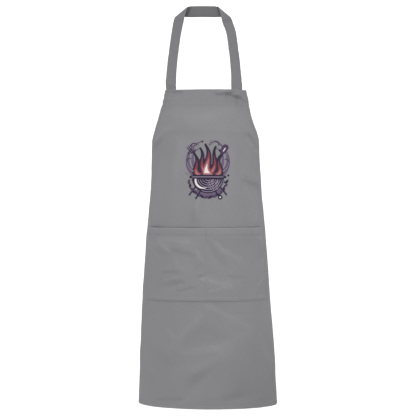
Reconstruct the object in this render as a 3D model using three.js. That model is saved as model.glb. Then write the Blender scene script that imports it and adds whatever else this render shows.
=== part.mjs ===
// A grey cloth bib apron in the form it has when worn, in millimetres, +Z up, front towards -Y.
// The origin is on the inner face of the neck strap, at the nape. Left is the viewer's left, -X.
import * as THREE from 'three';

// Body panel: heights count down from the bib's top edge, widths along the cloth from centre front
const NECK_DROP = 239;           // from the nape down to the bib's top edge
const BODY_LENGTH = 866;         // bib's top edge to bottom hem, centre front
const BIB_HALF_WIDTH = 118;
const WAIST_DROP = 250;          // height of the waist corners below the bib's top edge
const WAIST_HALF_WIDTH = 296;
const HEM_HALF_WIDTH = 326;
const HEM_SPREAD = 195;          // half the worn width of the skirt at the bottom hem
const FRONT_REACH = 212;         // how far the skirt's front stands before the nape at the hem
const SIDE_REACH = 78;           // how far the widest line of the body lies before the nape
const BACK_DEPTH = 98;           // depth of the worn form behind that widest line
const HEM_DROOP = 9;             // how much lower the hem's side ends hang

// Cloth and sewing
const CLOTH = 1.2;
const GAP = 0.3;                 // between layers sewn to each other
const SEAT_GAP = 1.1;             // behind the middle of a flat strap sewn on curved cloth
const BIB_HEM = 46;
const SIDE_HEM = 10;
const BOTTOM_HEM = 12;
const FOLD_DEPTH = 7;            // height of the deepest soft fold

// Pocket
const POCKET_DROP = 377;
const POCKET_HEIGHT = 198;
const POCKET_TOP_HALF_WIDTH = 180;
const POCKET_BOTTOM_HALF_WIDTH = 195;
const POCKET_HEM = 23;
const POCKET_EASE = 12;          // how far the slack mouth stands off the panel

// Neck strap
const STRAP_WIDTH = 30;
const STRAP_THICKNESS = 1.8;
const STRAP_LAP = 40;            // sewn length behind the bib's top hem
const STRAP_HALF_SPACING = 91;   // half the distance between the legs at the bib
const STRAP_SHIFT = 7;           // how far the loop sits to the viewer's left

// Waist ties
const TIE_WIDTH = 25;
const TIE_THICKNESS = 1.6;
const TIE_LAP = 28;
const KNOT_WIDTH = 30;
const KNOT_HEIGHT = 34;
const KNOT_DEPTH = 17;
const TAIL_LENGTH_LEFT = 330;
const TAIL_LENGTH_RIGHT = 300;
const TAIL_START = 4;            // how far each tail's middle leaves the knot from centre back
const TAIL_SPREAD = 34;          // how far each tail's end hangs from centre back

// Mesh steps
const ROW_STEP = 30;
const POCKET_COLUMNS = 10;
const SIDE_COLUMNS = 6;
const RIBBON_STEPS = 3;
const ARC_STEPS = 120;

const GREY = { color: 0x8b8a8d, roughness: 0.95, metalness: 0 };
const HEM_GREY = { color: 0x848387, roughness: 0.95, metalness: 0 };
const STRAP_GREY = { color: 0x7d7c80, roughness: 0.9, metalness: 0 };

// Worn form, a row for each level: at is a share of BODY_LENGTH, half and sway are shares of
// HEM_SPREAD (sway is how far the form leans to +X), front is a share of FRONT_REACH
const LEVELS = [
  { at: 0.00, half: 0.765, sway: -0.007, front: 0.811 },
  { at: 0.10, half: 0.768, sway: -0.014, front: 0.877 },
  { at: 0.20, half: 0.774, sway: -0.008, front: 0.880 },
  { at: 0.34, half: 0.806, sway: -0.004, front: 0.923 },
  { at: 0.45, half: 0.854, sway: -0.003, front: 0.946 },
  { at: 0.66, half: 0.918, sway: 0.000, front: 0.966 },
  { at: 0.83, half: 0.965, sway: 0.013, front: 0.986 },
  { at: 1.00, half: 1.000, sway: 0.023, front: 1.000 },
];

// Armhole curve: at is a share of WAIST_DROP, reach the share of the way from bib width to waist width
const ARMHOLE = [
  { at: 0.00, reach: 0.00 },
  { at: 0.20, reach: 0.08 },
  { at: 0.40, reach: 0.23 },
  { at: 0.56, reach: 0.43 },
  { at: 0.78, reach: 0.78 },
  { at: 1.00, reach: 1.00 },
];

// Main soft folds and dents: across is a share of WAIST_HALF_WIDTH; down, length and width are
// shares of BODY_LENGTH; turn is the ridge's angle from vertical in degrees, a positive one running
// down to the right; height is a share of FOLD_DEPTH
const FOLDS = [
  { across: -0.50, down: 0.160, turn: -58, length: 0.040, width: 0.014, height: 0.80 },
  { across: 0.50, down: 0.185, turn: 44, length: 0.052, width: 0.014, height: 1.00 },
  { across: -0.51, down: 0.295, turn: -21, length: 0.090, width: 0.022, height: 0.50 },
  { across: 0.49, down: 0.305, turn: 66, length: 0.035, width: 0.022, height: -0.70 },
  { across: 0.52, down: 0.395, turn: 0, length: 0.050, width: 0.018, height: 0.45 },
  { across: -0.12, down: 0.110, turn: 72, length: 0.120, width: 0.034, height: 0.45 },
  { across: -0.10, down: 0.375, turn: 30, length: 0.040, width: 0.028, height: 0.45 },
  { across: 0.14, down: 0.540, turn: 38, length: 0.070, width: 0.024, height: -0.75 },
  { across: -0.42, down: 0.495, turn: 62, length: 0.030, width: 0.014, height: 0.55 },
  { across: -0.32, down: 0.613, turn: -72, length: 0.032, width: 0.014, height: -0.65 },
  { across: 0.58, down: 0.530, turn: -66, length: 0.036, width: 0.018, height: -0.55 },
  { across: -0.23, down: 0.785, turn: -42, length: 0.085, width: 0.034, height: 0.70 },
  { across: -0.14, down: 0.925, turn: -46, length: 0.070, width: 0.022, height: -0.90 },
  { across: 0.30, down: 0.965, turn: -62, length: 0.060, width: 0.030, height: -0.70 },
];

// Neck strap's left leg, a row for each station from the bib up to centre back: side is a share of
// STRAP_HALF_SPACING, reach a share of FRONT_REACH, rise a share of NECK_DROP below the nape;
// x, y, z point from the strap's middle to its outer edge
const STRAP_STATIONS = [
  { side: 0.988, reach: 0.673, rise: -0.900, x: -0.950, y: 0.31, z: 0.02 },
  { side: 0.952, reach: 0.622, rise: -0.694, x: -0.920, y: 0.39, z: 0.05 },
  { side: 0.902, reach: 0.500, rise: -0.496, x: -0.912, y: 0.40, z: 0.08 },
  { side: 0.840, reach: 0.358, rise: -0.292, x: -0.930, y: 0.35, z: 0.10 },
  { side: 0.790, reach: 0.260, rise: -0.172, x: -0.940, y: 0.28, z: 0.17 },
  { side: 0.769, reach: 0.176, rise: -0.082, x: -0.818, y: 0.57, z: 0.00 },
  { side: 0.705, reach: 0.142, rise: -0.042, x: -0.418, y: 0.81, z: -0.41 },
  { side: 0.595, reach: 0.108, rise: -0.015, x: -0.018, y: 0.57, z: -0.82 },
  { side: 0.450, reach: 0.070, rise: -0.004, x: 0.120, y: 0.10, z: -0.99 },
  { side: 0.235, reach: 0.019, rise: 0.000, x: 0.040, y: 0.00, z: -1.00 },
];

// Smooth curve through one column of a table, its first and last slopes straight
function through(rows, at, column) {
  let low = 0;
  while (low < rows.length - 2 && at > rows[low + 1].at) low += 1;
  const slope = (index) => {
    const before = rows[Math.max(index - 1, 0)];
    const after = rows[Math.min(index + 1, rows.length - 1)];
    return (after[column] - before[column]) / (after.at - before.at);
  };
  const start = rows[low];
  const end = rows[low + 1];
  const span = end.at - start.at;
  const share = THREE.MathUtils.clamp((at - start.at) / span, 0, 1);
  const square = share * share;
  const cube = square * share;
  return (2 * cube - 3 * square + 1) * start[column]
    + (cube - 2 * square + share) * slope(low) * span
    + (3 * square - 2 * cube) * end[column]
    + (cube - square) * slope(low + 1) * span;
}

// Plan outline of the worn form at one level: half an ellipse in front of its widest line and a
// shallower one behind, as running lengths from centre front
function planOutline(drop) {
  const at = drop / BODY_LENGTH;
  const half = through(LEVELS, at, 'half') * HEM_SPREAD;
  const sway = through(LEVELS, at, 'sway') * HEM_SPREAD;
  const frontDepth = through(LEVELS, at, 'front') * FRONT_REACH - SIDE_REACH;
  const outline = [{ run: 0, x: 0, y: -SIDE_REACH - frontDepth }];
  for (let step = 1; step <= ARC_STEPS; step += 1) {
    const angle = Math.PI * step / ARC_STEPS;
    const depth = angle <= Math.PI / 2 ? frontDepth : BACK_DEPTH;
    const x = half * Math.sin(angle);
    const y = -SIDE_REACH - depth * Math.cos(angle);
    const last = outline[outline.length - 1];
    outline.push({ run: last.run + Math.hypot(x - last.x, y - last.y), x, y });
  }
  return { sway, outline };
}

const outlines = new Map();
function outlineAt(drop) {
  if (!outlines.has(drop)) outlines.set(drop, planOutline(drop));
  return outlines.get(drop);
}

// Length along the form from centre front to centre back
function wayRound(drop) {
  const { outline } = outlineAt(drop);
  return outline[outline.length - 1].run;
}

// Point of the smooth worn form at a width along the cloth and a height down it
function formPoint(across, drop) {
  const { sway, outline } = outlineAt(drop);
  const run = Math.abs(across);
  let next = 1;
  while (next < outline.length - 1 && outline[next].run < run) next += 1;
  const from = outline[next - 1];
  const to = outline[next];
  const share = (run - from.run) / (to.run - from.run);
  const x = Math.sign(across) * THREE.MathUtils.lerp(from.x, to.x, share) + sway;
  const y = THREE.MathUtils.lerp(from.y, to.y, share);
  const side = across / HEM_HALF_WIDTH;
  const droop = HEM_DROOP * side * (side + 0.25) * (drop / BODY_LENGTH) ** 4;
  return new THREE.Vector3(x, y, -NECK_DROP - drop - droop);
}

// Direction straight out of the cloth
function formNormal(across, drop) {
  const reach = 4;
  const along = formPoint(across + reach, drop).sub(formPoint(across - reach, drop));
  const down = formPoint(across, drop + reach).sub(formPoint(across, drop - reach));
  return down.cross(along).normalize();
}

// Height of the soft folds above the smooth form
function foldHeight(across, drop) {
  let height = 0;
  for (const fold of FOLDS) {
    const side = across - fold.across * WAIST_HALF_WIDTH;
    const down = drop - fold.down * BODY_LENGTH;
    const turn = THREE.MathUtils.degToRad(fold.turn);
    const along = (down * Math.cos(turn) + side * Math.sin(turn)) / (fold.length * BODY_LENGTH);
    const off = (side * Math.cos(turn) - down * Math.sin(turn)) / (fold.width * BODY_LENGTH);
    height += fold.height * FOLD_DEPTH * Math.exp(-along * along - off * off);
  }
  return height;
}

// Point at a height above the panel's outer face
function clothPoint(across, drop, above) {
  const normal = formNormal(across, drop);
  return formPoint(across, drop).addScaledVector(normal, foldHeight(across, drop) + above);
}

// Half the flat width of the panel
function panelEdge(drop) {
  if (drop < WAIST_DROP) {
    const reach = through(ARMHOLE, drop / WAIST_DROP, 'reach');
    return THREE.MathUtils.lerp(BIB_HALF_WIDTH, WAIST_HALF_WIDTH, reach);
  }
  const share = (drop - WAIST_DROP) / (BODY_LENGTH - WAIST_DROP);
  return THREE.MathUtils.lerp(WAIST_HALF_WIDTH, HEM_HALF_WIDTH, share);
}

// Half width of the pocket's side seams, carried on above and below the pocket as a share of the panel
function pocketEdge(drop) {
  const share = (drop - POCKET_DROP) / POCKET_HEIGHT;
  const inside = THREE.MathUtils.clamp(share, 0, 1);
  const width = THREE.MathUtils.lerp(POCKET_TOP_HALF_WIDTH, POCKET_BOTTOM_HALF_WIDTH, inside);
  const level = POCKET_DROP + inside * POCKET_HEIGHT;
  return width * panelEdge(drop) / panelEdge(level);
}

// Width of the side hem measured along the level, wider where the edge runs aslant
function hemAcross(drop) {
  const slope = panelEdge(drop + 1) - panelEdge(drop - 1);
  return SIDE_HEM * Math.hypot(1, slope / 2);
}

// Lines of the lattice that all the layers share, from the left edge to the right edge
function columnsAt(drop) {
  const edge = panelEdge(drop);
  const hemLine = edge - hemAcross(drop);
  const pocketLine = Math.min(pocketEdge(drop), hemLine * 0.9);
  const right = [];
  for (let column = 1; column <= POCKET_COLUMNS; column += 1) {
    right.push(pocketLine * column / POCKET_COLUMNS);
  }
  for (let column = 1; column <= SIDE_COLUMNS; column += 1) {
    right.push(THREE.MathUtils.lerp(pocketLine, hemLine, column / SIDE_COLUMNS));
  }
  right.push(edge);
  const left = right.map((across) => -across).reverse();
  return [...left, 0, ...right];
}

const SIDE_LINES = POCKET_COLUMNS + SIDE_COLUMNS + 1;
const LAST_COLUMN = 2 * SIDE_LINES;
const POCKET_LEFT = SIDE_LINES - POCKET_COLUMNS;
const POCKET_RIGHT = SIDE_LINES + POCKET_COLUMNS;

// Levels from one height to another, evenly spaced
function levels(from, to) {
  const count = Math.max(1, Math.round((to - from) / ROW_STEP));
  const list = [];
  for (let step = 0; step <= count; step += 1) list.push(THREE.MathUtils.lerp(from, to, step / count));
  return list;
}

// Rows of the lattice through the named heights
function rowsThrough(heights) {
  const rows = [heights[0]];
  for (let index = 1; index < heights.length; index += 1) {
    rows.push(...levels(heights[index - 1], heights[index]).slice(1));
  }
  return rows;
}

const POCKET_HEM_LINE = POCKET_DROP + POCKET_HEM;
const POCKET_FLOOR = POCKET_DROP + POCKET_HEIGHT;
const HEM_LINE = BODY_LENGTH - BOTTOM_HEM;

function mesh(name, vertices, triangles, finish) {
  const geometry = new THREE.BufferGeometry();
  const flat = vertices.flatMap((vertex) => [vertex.x, vertex.y, vertex.z]);
  geometry.setAttribute('position', new THREE.Float32BufferAttribute(flat, 3));
  geometry.setIndex(triangles);
  geometry.computeVertexNormals();
  const piece = new THREE.Mesh(geometry, new THREE.MeshStandardMaterial(finish));
  piece.name = name;
  return piece;
}

// A layer of cloth between two heights above the panel's outer face, over some rows and columns
function layer(name, rows, firstColumn, lastColumn, outer, inner, finish) {
  const count = lastColumn - firstColumn + 1;
  const vertices = [];
  for (const above of [outer, inner]) {
    for (const drop of rows) {
      const columns = columnsAt(drop).slice(firstColumn, lastColumn + 1);
      for (const across of columns) vertices.push(clothPoint(across, drop, above(across, drop)));
    }
  }
  const outside = (row, column) => row * count + column;
  const inside = (row, column) => outside(row, column) + rows.length * count;
  const triangles = [];
  const quad = (a, b, c, d) => triangles.push(a, b, c, a, c, d);
  const lastRow = rows.length - 1;
  for (let row = 0; row < lastRow; row += 1) {
    for (let column = 0; column < count - 1; column += 1) {
      quad(outside(row, column), outside(row + 1, column), outside(row + 1, column + 1), outside(row, column + 1));
      quad(inside(row + 1, column + 1), inside(row + 1, column), inside(row, column), inside(row, column + 1));
    }
    quad(outside(row, 0), inside(row, 0), inside(row + 1, 0), outside(row + 1, 0));
    quad(outside(row, count - 1), outside(row + 1, count - 1), inside(row + 1, count - 1), inside(row, count - 1));
  }
  for (let column = 0; column < count - 1; column += 1) {
    quad(outside(0, column), outside(0, column + 1), inside(0, column + 1), inside(0, column));
    quad(outside(lastRow, column), inside(lastRow, column), inside(lastRow, column + 1), outside(lastRow, column + 1));
  }
  return mesh(name, vertices, triangles, finish);
}

// A flat ribbon through stations, each with its middle and the direction to its outer edge
function ribbon(name, stations, width, thickness, finish) {
  const middles = new THREE.CatmullRomCurve3(stations.map((station) => station.middle));
  const turns = new THREE.CatmullRomCurve3(stations.map((station) => station.out), false, 'catmullrom');
  const steps = (stations.length - 1) * RIBBON_STEPS;
  const vertices = [];
  for (let step = 0; step <= steps; step += 1) {
    const middle = middles.getPoint(step / steps);
    const along = middles.getTangent(step / steps);
    const face = along.clone().cross(turns.getPoint(step / steps)).normalize();
    const out = face.clone().cross(along).normalize();
    for (const [side, lift] of [[1, 0.5], [-1, 0.5], [-1, -0.5], [1, -0.5]]) {
      vertices.push(middle.clone().addScaledVector(out, side * width / 2).addScaledVector(face, lift * thickness));
    }
  }
  const triangles = [];
  for (let step = 0; step < steps; step += 1) {
    for (let corner = 0; corner < 4; corner += 1) {
      const here = step * 4 + corner;
      const beside = step * 4 + (corner + 1) % 4;
      triangles.push(here, beside, beside + 4, here, beside + 4, here + 4);
    }
  }
  const end = steps * 4;
  triangles.push(0, 3, 2, 0, 2, 1, end, end + 1, end + 2, end, end + 2, end + 3);
  return mesh(name, vertices, triangles, finish);
}

const UNDER_CLOTH = -CLOTH - GAP;
const panelOuter = () => 0;
const panelInner = () => -CLOTH;
const hemOuter = () => UNDER_CLOTH;
const hemInner = () => UNDER_CLOTH - CLOTH;

function bodyPanel() {
  const rows = rowsThrough([0, BIB_HEM, WAIST_DROP, POCKET_DROP, POCKET_HEM_LINE, POCKET_FLOOR, HEM_LINE, BODY_LENGTH]);
  return layer('body_panel', rows, 0, LAST_COLUMN, panelOuter, panelInner, GREY);
}

function panelHems() {
  const armhole = rowsThrough([BIB_HEM, WAIST_DROP]);
  armhole[0] += GAP;
  armhole[armhole.length - 1] -= GAP / 2;
  const side = rowsThrough([WAIST_DROP, POCKET_DROP, POCKET_HEM_LINE, POCKET_FLOOR, HEM_LINE]);
  side[0] += GAP / 2;
  side[side.length - 1] -= GAP;
  const last = LAST_COLUMN;
  return [
    layer('bib_top_hem', rowsThrough([0, BIB_HEM]), 0, last, hemOuter, hemInner, HEM_GREY),
    layer('armhole_hem_left', armhole, 0, 1, hemOuter, hemInner, HEM_GREY),
    layer('armhole_hem_right', armhole, last - 1, last, hemOuter, hemInner, HEM_GREY),
    layer('side_hem_left', side, 0, 1, hemOuter, hemInner, HEM_GREY),
    layer('side_hem_right', side, last - 1, last, hemOuter, hemInner, HEM_GREY),
    layer('bottom_hem', [HEM_LINE, BODY_LENGTH], 0, last, hemOuter, hemInner, HEM_GREY),
  ];
}

// Inner face of the pocket: close to the panel at its seams, standing off where it is slack, and
// lifted by its own turned hem at the mouth
function pocketInner(across, drop) {
  const down = (drop - POCKET_DROP) / POCKET_HEIGHT;
  const side = Math.abs(across) / pocketEdge(drop);
  const slack = Math.sin(Math.PI * THREE.MathUtils.clamp(side, 0, 1)) ** 0.7 * (1 - down ** 2);
  const hemShare = POCKET_HEM / POCKET_HEIGHT;
  const hemLift = (CLOTH + GAP) * (1 - THREE.MathUtils.smoothstep(down, hemShare, 2 * hemShare));
  return GAP + hemLift + POCKET_EASE * slack;
}

const pocketOuter = (across, drop) => pocketInner(across, drop) + CLOTH;
const pocketHemOuter = (across, drop) => pocketInner(across, drop) - GAP;
const pocketHemInner = (across, drop) => pocketInner(across, drop) - GAP - CLOTH;

function pocketPieces() {
  const rows = rowsThrough([POCKET_DROP, POCKET_HEM_LINE, POCKET_FLOOR]);
  const hemRows = rowsThrough([POCKET_DROP, POCKET_HEM_LINE]);
  return [
    layer('pocket', rows, POCKET_LEFT, POCKET_RIGHT, pocketOuter, pocketInner, GREY),
    layer('pocket_top_hem', hemRows, POCKET_LEFT, POCKET_RIGHT, pocketHemOuter, pocketHemInner, HEM_GREY),
  ];
}

// Width along the cloth at which the form reaches an x
function acrossAt(x, drop) {
  let low = 0;
  let high = Math.sign(x) * wayRound(drop) / 2;
  for (let halving = 0; halving < 30; halving += 1) {
    const middle = (low + high) / 2;
    if (Math.abs(formPoint(middle, drop).x) < Math.abs(x)) low = middle;
    else high = middle;
  }
  return low;
}

// Station of a strap that lies behind the cloth, with its outer edge towards the given side
function stationBehind(across, drop, depth, thickness, out) {
  const middle = clothPoint(across, drop, UNDER_CLOTH - depth - thickness / 2);
  return { middle, out };
}

function neckStrap() {
  const stations = { left: [], right: [] };
  for (const [name, side] of [['left', -1], ['right', 1]]) {
    for (const lap of [1, 0.5, 0.05]) {
      const drop = STRAP_LAP * lap;
      const across = acrossAt(side * STRAP_HALF_SPACING - STRAP_SHIFT, drop);
      const out = formPoint(across + side, drop).sub(formPoint(across, drop));
      stations[name].push(stationBehind(across, drop, CLOTH + SEAT_GAP, STRAP_THICKNESS, out));
    }
    for (const row of STRAP_STATIONS) {
      const x = side * row.side * STRAP_HALF_SPACING - STRAP_SHIFT;
      const middle = new THREE.Vector3(x, STRAP_THICKNESS / 2 - row.reach * FRONT_REACH, row.rise * NECK_DROP);
      stations[name].push({ middle, out: new THREE.Vector3(-side * row.x, row.y, row.z) });
    }
  }
  const nape = { middle: new THREE.Vector3(-STRAP_SHIFT, STRAP_THICKNESS / 2, 0), out: new THREE.Vector3(0, 0, -1) };
  const path = [...stations.left, nape, ...stations.right.reverse()];
  return ribbon('neck_strap', path, STRAP_WIDTH, STRAP_THICKNESS, STRAP_GREY);
}

// Waist ties: from behind the waist corners round the back to the knot, then two hanging tails
const TIE_DROP = WAIST_DROP + GAP + TIE_WIDTH / 2;
const TIE_DEPTH = CLOTH + SEAT_GAP;

function waistTie(name, side) {
  const from = panelEdge(TIE_DROP) - TIE_LAP;
  const to = wayRound(TIE_DROP) - KNOT_WIDTH / 2 - GAP;
  const stations = [];
  const count = 6;
  for (let step = 0; step <= count; step += 1) {
    const across = side * THREE.MathUtils.lerp(from, to, step / count);
    stations.push(stationBehind(across, TIE_DROP, TIE_DEPTH, TIE_THICKNESS, new THREE.Vector3(0, 0, -side)));
  }
  return ribbon(name, stations, TIE_WIDTH, TIE_THICKNESS, STRAP_GREY);
}

function knotMiddle() {
  return clothPoint(wayRound(TIE_DROP), TIE_DROP, UNDER_CLOTH - TIE_DEPTH - TIE_THICKNESS / 2);
}

// The knot: a rounded lump, pinched where the ties go in at its sides
function tieKnot() {
  const geometry = new THREE.SphereGeometry(0.5, 16, 10);
  const places = geometry.attributes.position;
  const middle = knotMiddle();
  const vertices = [];
  for (let index = 0; index < places.count; index += 1) {
    const place = new THREE.Vector3().fromBufferAttribute(places, index);
    const pinch = 1 - 0.3 * (2 * Math.abs(place.x)) ** 2;
    const lump = new THREE.Vector3(place.x * KNOT_WIDTH, place.z * KNOT_DEPTH, -place.y * KNOT_HEIGHT * pinch);
    vertices.push(lump.add(middle));
  }
  return mesh('tie_knot', vertices, [...geometry.index.array], STRAP_GREY);
}

// The tails leave the knot one before the other and spread as they fall
function tieTail(name, side, length) {
  const top = knotMiddle();
  const start = top.z - KNOT_HEIGHT / 2 - GAP;
  const layer = side * (TIE_THICKNESS + GAP) / 2;
  const stations = [];
  for (const share of [0, 0.15, 0.4, 0.7, 1]) {
    const spread = THREE.MathUtils.lerp(TAIL_START, TAIL_SPREAD, share ** 0.8);
    const settle = KNOT_DEPTH / 4 * Math.sin(Math.PI * share);
    const middle = new THREE.Vector3(top.x + side * spread, top.y + layer + settle, start - length * share);
    stations.push({ middle, out: new THREE.Vector3(side, 0, 0) });
  }
  return ribbon(name, stations, TIE_WIDTH, TIE_THICKNESS, STRAP_GREY);
}

const group = new THREE.Group();
group.add(bodyPanel(), ...panelHems(), ...pocketPieces(), neckStrap());
group.add(waistTie('waist_tie_left', -1), waistTie('waist_tie_right', 1), tieKnot());
group.add(tieTail('tie_tail_left', -1, TAIL_LENGTH_LEFT), tieTail('tie_tail_right', 1, TAIL_LENGTH_RIGHT));

export default group;
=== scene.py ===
from collections import namedtuple

import bpy
import numpy as np
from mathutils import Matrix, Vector


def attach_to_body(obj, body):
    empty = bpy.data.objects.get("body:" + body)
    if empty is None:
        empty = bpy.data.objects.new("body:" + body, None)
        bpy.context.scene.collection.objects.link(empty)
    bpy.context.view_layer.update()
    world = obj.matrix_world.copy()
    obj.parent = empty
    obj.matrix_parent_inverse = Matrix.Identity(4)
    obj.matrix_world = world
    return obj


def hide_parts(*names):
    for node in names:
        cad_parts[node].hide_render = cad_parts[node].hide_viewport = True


# A grey cloth bib apron in the form it has when worn. The front faces -Y, left is -X, and the origin
# is at the nape. Places on the cloth are given as across (from centre front) and drop (below the bib's top).
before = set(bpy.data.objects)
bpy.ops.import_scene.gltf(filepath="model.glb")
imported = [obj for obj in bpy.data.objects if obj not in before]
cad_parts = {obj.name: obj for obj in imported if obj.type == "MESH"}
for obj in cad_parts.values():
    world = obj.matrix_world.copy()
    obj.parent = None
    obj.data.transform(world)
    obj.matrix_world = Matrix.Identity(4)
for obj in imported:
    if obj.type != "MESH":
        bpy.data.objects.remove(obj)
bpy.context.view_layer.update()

MM = 0.001

# Body panel
NECK_DROP = 239 * MM
BODY_LENGTH = 866 * MM
BIB_HALF_WIDTH = 118 * MM
WAIST_DROP = 250 * MM
WAIST_HALF_WIDTH = 296 * MM
HEM_HALF_WIDTH = 326 * MM
HEM_SPREAD = 195 * MM
FRONT_REACH = 212 * MM
SIDE_REACH = 78 * MM
BACK_DEPTH = 98 * MM
HEM_DROOP = 9 * MM
DROOP_TO_RIGHT = 0.25

# Cloth and sewing
CLOTH = 1.2 * MM
GAP = 0.3 * MM
SEAT_GAP = 1.1 * MM
BIB_HEM = 46 * MM
SIDE_HEM = 10 * MM
BOTTOM_HEM = 12 * MM
FOLD_DEPTH = 7 * MM
SEAM_INSET = 1.5 * MM
EDGE_GAP = 3 * MM
TURNED_HEM = 2 * CLOTH + GAP

# Pocket
POCKET_DROP = 377 * MM
POCKET_HEIGHT = 198 * MM
POCKET_TOP_HALF_WIDTH = 180 * MM
POCKET_BOTTOM_HALF_WIDTH = 195 * MM
POCKET_HEM = 23 * MM
POCKET_EASE = 2.4 * MM
POCKET_FLOOR = POCKET_DROP + POCKET_HEIGHT

# Straps and ties
STRAP_WIDTH = 30 * MM
STRAP_THICKNESS = 1.8 * MM
STRAP_LAP = 40 * MM
STRAP_HALF_SPACING = 91 * MM
STRAP_SHIFT = 7 * MM
TIE_WIDTH = 25 * MM
TIE_THICKNESS = 1.6 * MM
TIE_LAP = 28 * MM
KNOT_WIDTH = 30 * MM
KNOT_HEIGHT = 34 * MM
KNOT_DEPTH = 17 * MM
TAIL_LENGTH_LEFT = 330 * MM
TAIL_LENGTH_RIGHT = 300 * MM
TAIL_START = 4 * MM
TAIL_SPREAD = 34 * MM

# Worn form: at is a share of BODY_LENGTH, half and sway of HEM_SPREAD, front of FRONT_REACH
Level = namedtuple("Level", "at half sway front")
LEVELS = [
    Level(0.00, 0.765, -0.007, 0.811),
    Level(0.10, 0.768, -0.014, 0.877),
    Level(0.20, 0.774, -0.008, 0.880),
    Level(0.34, 0.806, -0.004, 0.923),
    Level(0.45, 0.854, -0.003, 0.946),
    Level(0.66, 0.918, 0.000, 0.966),
    Level(0.83, 0.965, 0.013, 0.986),
    Level(1.00, 1.000, 0.023, 1.000),
]

# Armhole curve: at is a share of WAIST_DROP, reach the share of the way from bib to waist width
Armhole = namedtuple("Armhole", "at reach")
ARMHOLE = [
    Armhole(0.00, 0.00),
    Armhole(0.20, 0.08),
    Armhole(0.40, 0.23),
    Armhole(0.56, 0.43),
    Armhole(0.78, 0.78),
    Armhole(1.00, 1.00),
]

# Main folds: across is a share of WAIST_HALF_WIDTH; down, length and width of BODY_LENGTH; turn is
# the ridge's angle from vertical in degrees; height is a share of FOLD_DEPTH
Fold = namedtuple("Fold", "across down turn length width height")
FOLDS = [
    Fold(-0.50, 0.160, -58, 0.040, 0.014, 0.80),
    Fold(0.50, 0.185, 44, 0.052, 0.014, 1.00),
    Fold(-0.51, 0.295, -21, 0.090, 0.022, 0.50),
    Fold(0.49, 0.305, 66, 0.035, 0.022, -0.70),
    Fold(0.52, 0.395, 0, 0.050, 0.018, 0.45),
    Fold(-0.12, 0.110, 72, 0.120, 0.034, 0.45),
    Fold(-0.10, 0.375, 30, 0.040, 0.028, 0.45),
    Fold(0.14, 0.540, 38, 0.070, 0.024, -0.75),
    Fold(-0.42, 0.495, 62, 0.030, 0.014, 0.55),
    Fold(-0.32, 0.613, -72, 0.032, 0.014, -0.65),
    Fold(0.58, 0.530, -66, 0.036, 0.018, -0.55),
    Fold(-0.23, 0.785, -42, 0.085, 0.034, 0.70),
    Fold(-0.14, 0.925, -46, 0.070, 0.022, -0.90),
    Fold(0.30, 0.965, -62, 0.060, 0.030, -0.70),
]

# Soft folds in millimetres on the cloth. Each row runs from one place to another and has the half width
# of its band. A positive tone turns the band up to the light and paints a highlight along it, a negative
# one turns it away.
Streak = namedtuple("Streak", "across drop to_across to_drop width tone")
PANEL_STREAKS = [
    Streak(-20, 616, -94, 698, 9, 4.2),
    Streak(4, 586, 113, 642, 6.6, 4.7),
    Streak(-63, 686, -5, 642, 12.4, -1.2),
    Streak(-5, 645, 68, 681, 12.4, -1.4),
    Streak(-55, 710, 24, 701, 11, 4.1),
    Streak(24, 701, 122, 656, 9.6, 3.5),
    Streak(-34, 758, 62, 707, 11, 4.2),
    Streak(-4, 765, -67, 831, 12, -3.4),
    Streak(-180, 750, -126, 797, 5.5, 1.9),
    Streak(-156, 716, -110, 739, 13.8, -2.9),
    Streak(-146, 844, -73, 839, 4.1, -8.2),
    Streak(-18, 846, 83, 828, 9, -2.6),
    Streak(44, 832, 141, 825, 8, -2.4),
    Streak(154, 846, 222, 838, 6, -6),
    Streak(178, 738, 205, 792, 6, -3),
    Streak(167, 624, 188, 712, 14, -2.4),
    Streak(50, 607, 152, 611, 1.9, -3.4),
    Streak(-109, 656, -94, 669, 5.5, 3.5),
    Streak(-133, 582, -96, 596, 8.2, -3.3),
    Streak(-115, 6, -69, 6, 2.8, -18),
    Streak(-103, 22, -48, 20, 5, 4),
    Streak(-126, 18, -102, 14, 3.2, -14),
    Streak(-129, 35, -102, 26, 3.2, -14),
    Streak(-127, 56, -108, 47, 3.2, -12),
    Streak(-122, 44, -106, 38, 2.8, -7),
    Streak(31, 14, 67, 10, 4, -22),
    Streak(64, 11, 94, 21, 4.4, -24),
    Streak(88, 17, 114, 33, 4.4, -26),
    Streak(76, 5, 107, 10, 2.8, -14),
    Streak(96, 31, 116, 44, 4.1, -18),
    Streak(104, 45, 126, 58, 3.6, -9),
    Streak(-42, 84, 15, 71, 10, 4),
    Streak(15, 71, 71, 54, 9, 4),
    Streak(-126, 104, -104, 105, 8, 4),
    Streak(74, 111, 89, 111, 3.3, 7.8),
    Streak(-118, 119, 119, 119, 6.1, -3.4),
    Streak(-168, 144, -132, 123, 3.0, 6),
    Streak(-155, 155, -122, 130, 3.8, -8),
    Streak(116, 135, 158, 176, 3.2, 6),
    Streak(128, 122, 158, 152, 6, -14),
    Streak(118, 150, 140, 174, 5, -2),
    Streak(118, 247, 169, 263, 8.5, -9),
    Streak(140, 228, 170, 244, 4.1, 5),
    Streak(135, 277, 151, 302, 8, 5),
    Streak(155, 322, 149, 365, 2.8, 3),
    Streak(-137, 212, -154, 259, 2.5, 7.2),
    Streak(-175, 318, -162, 278, 2.5, 7.1),
    Streak(-24, 296, -24, 344, 13.8, 4),
    Streak(36, 307, 56, 361, 13, -3),
    Streak(-3, 359, 3, 352, 2.5, -2.1),
    Streak(79, 187, 78, 236, 12.4, 1.5),
    Streak(-83, 165, -96, 233, 13.8, 3.4),
]
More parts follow.
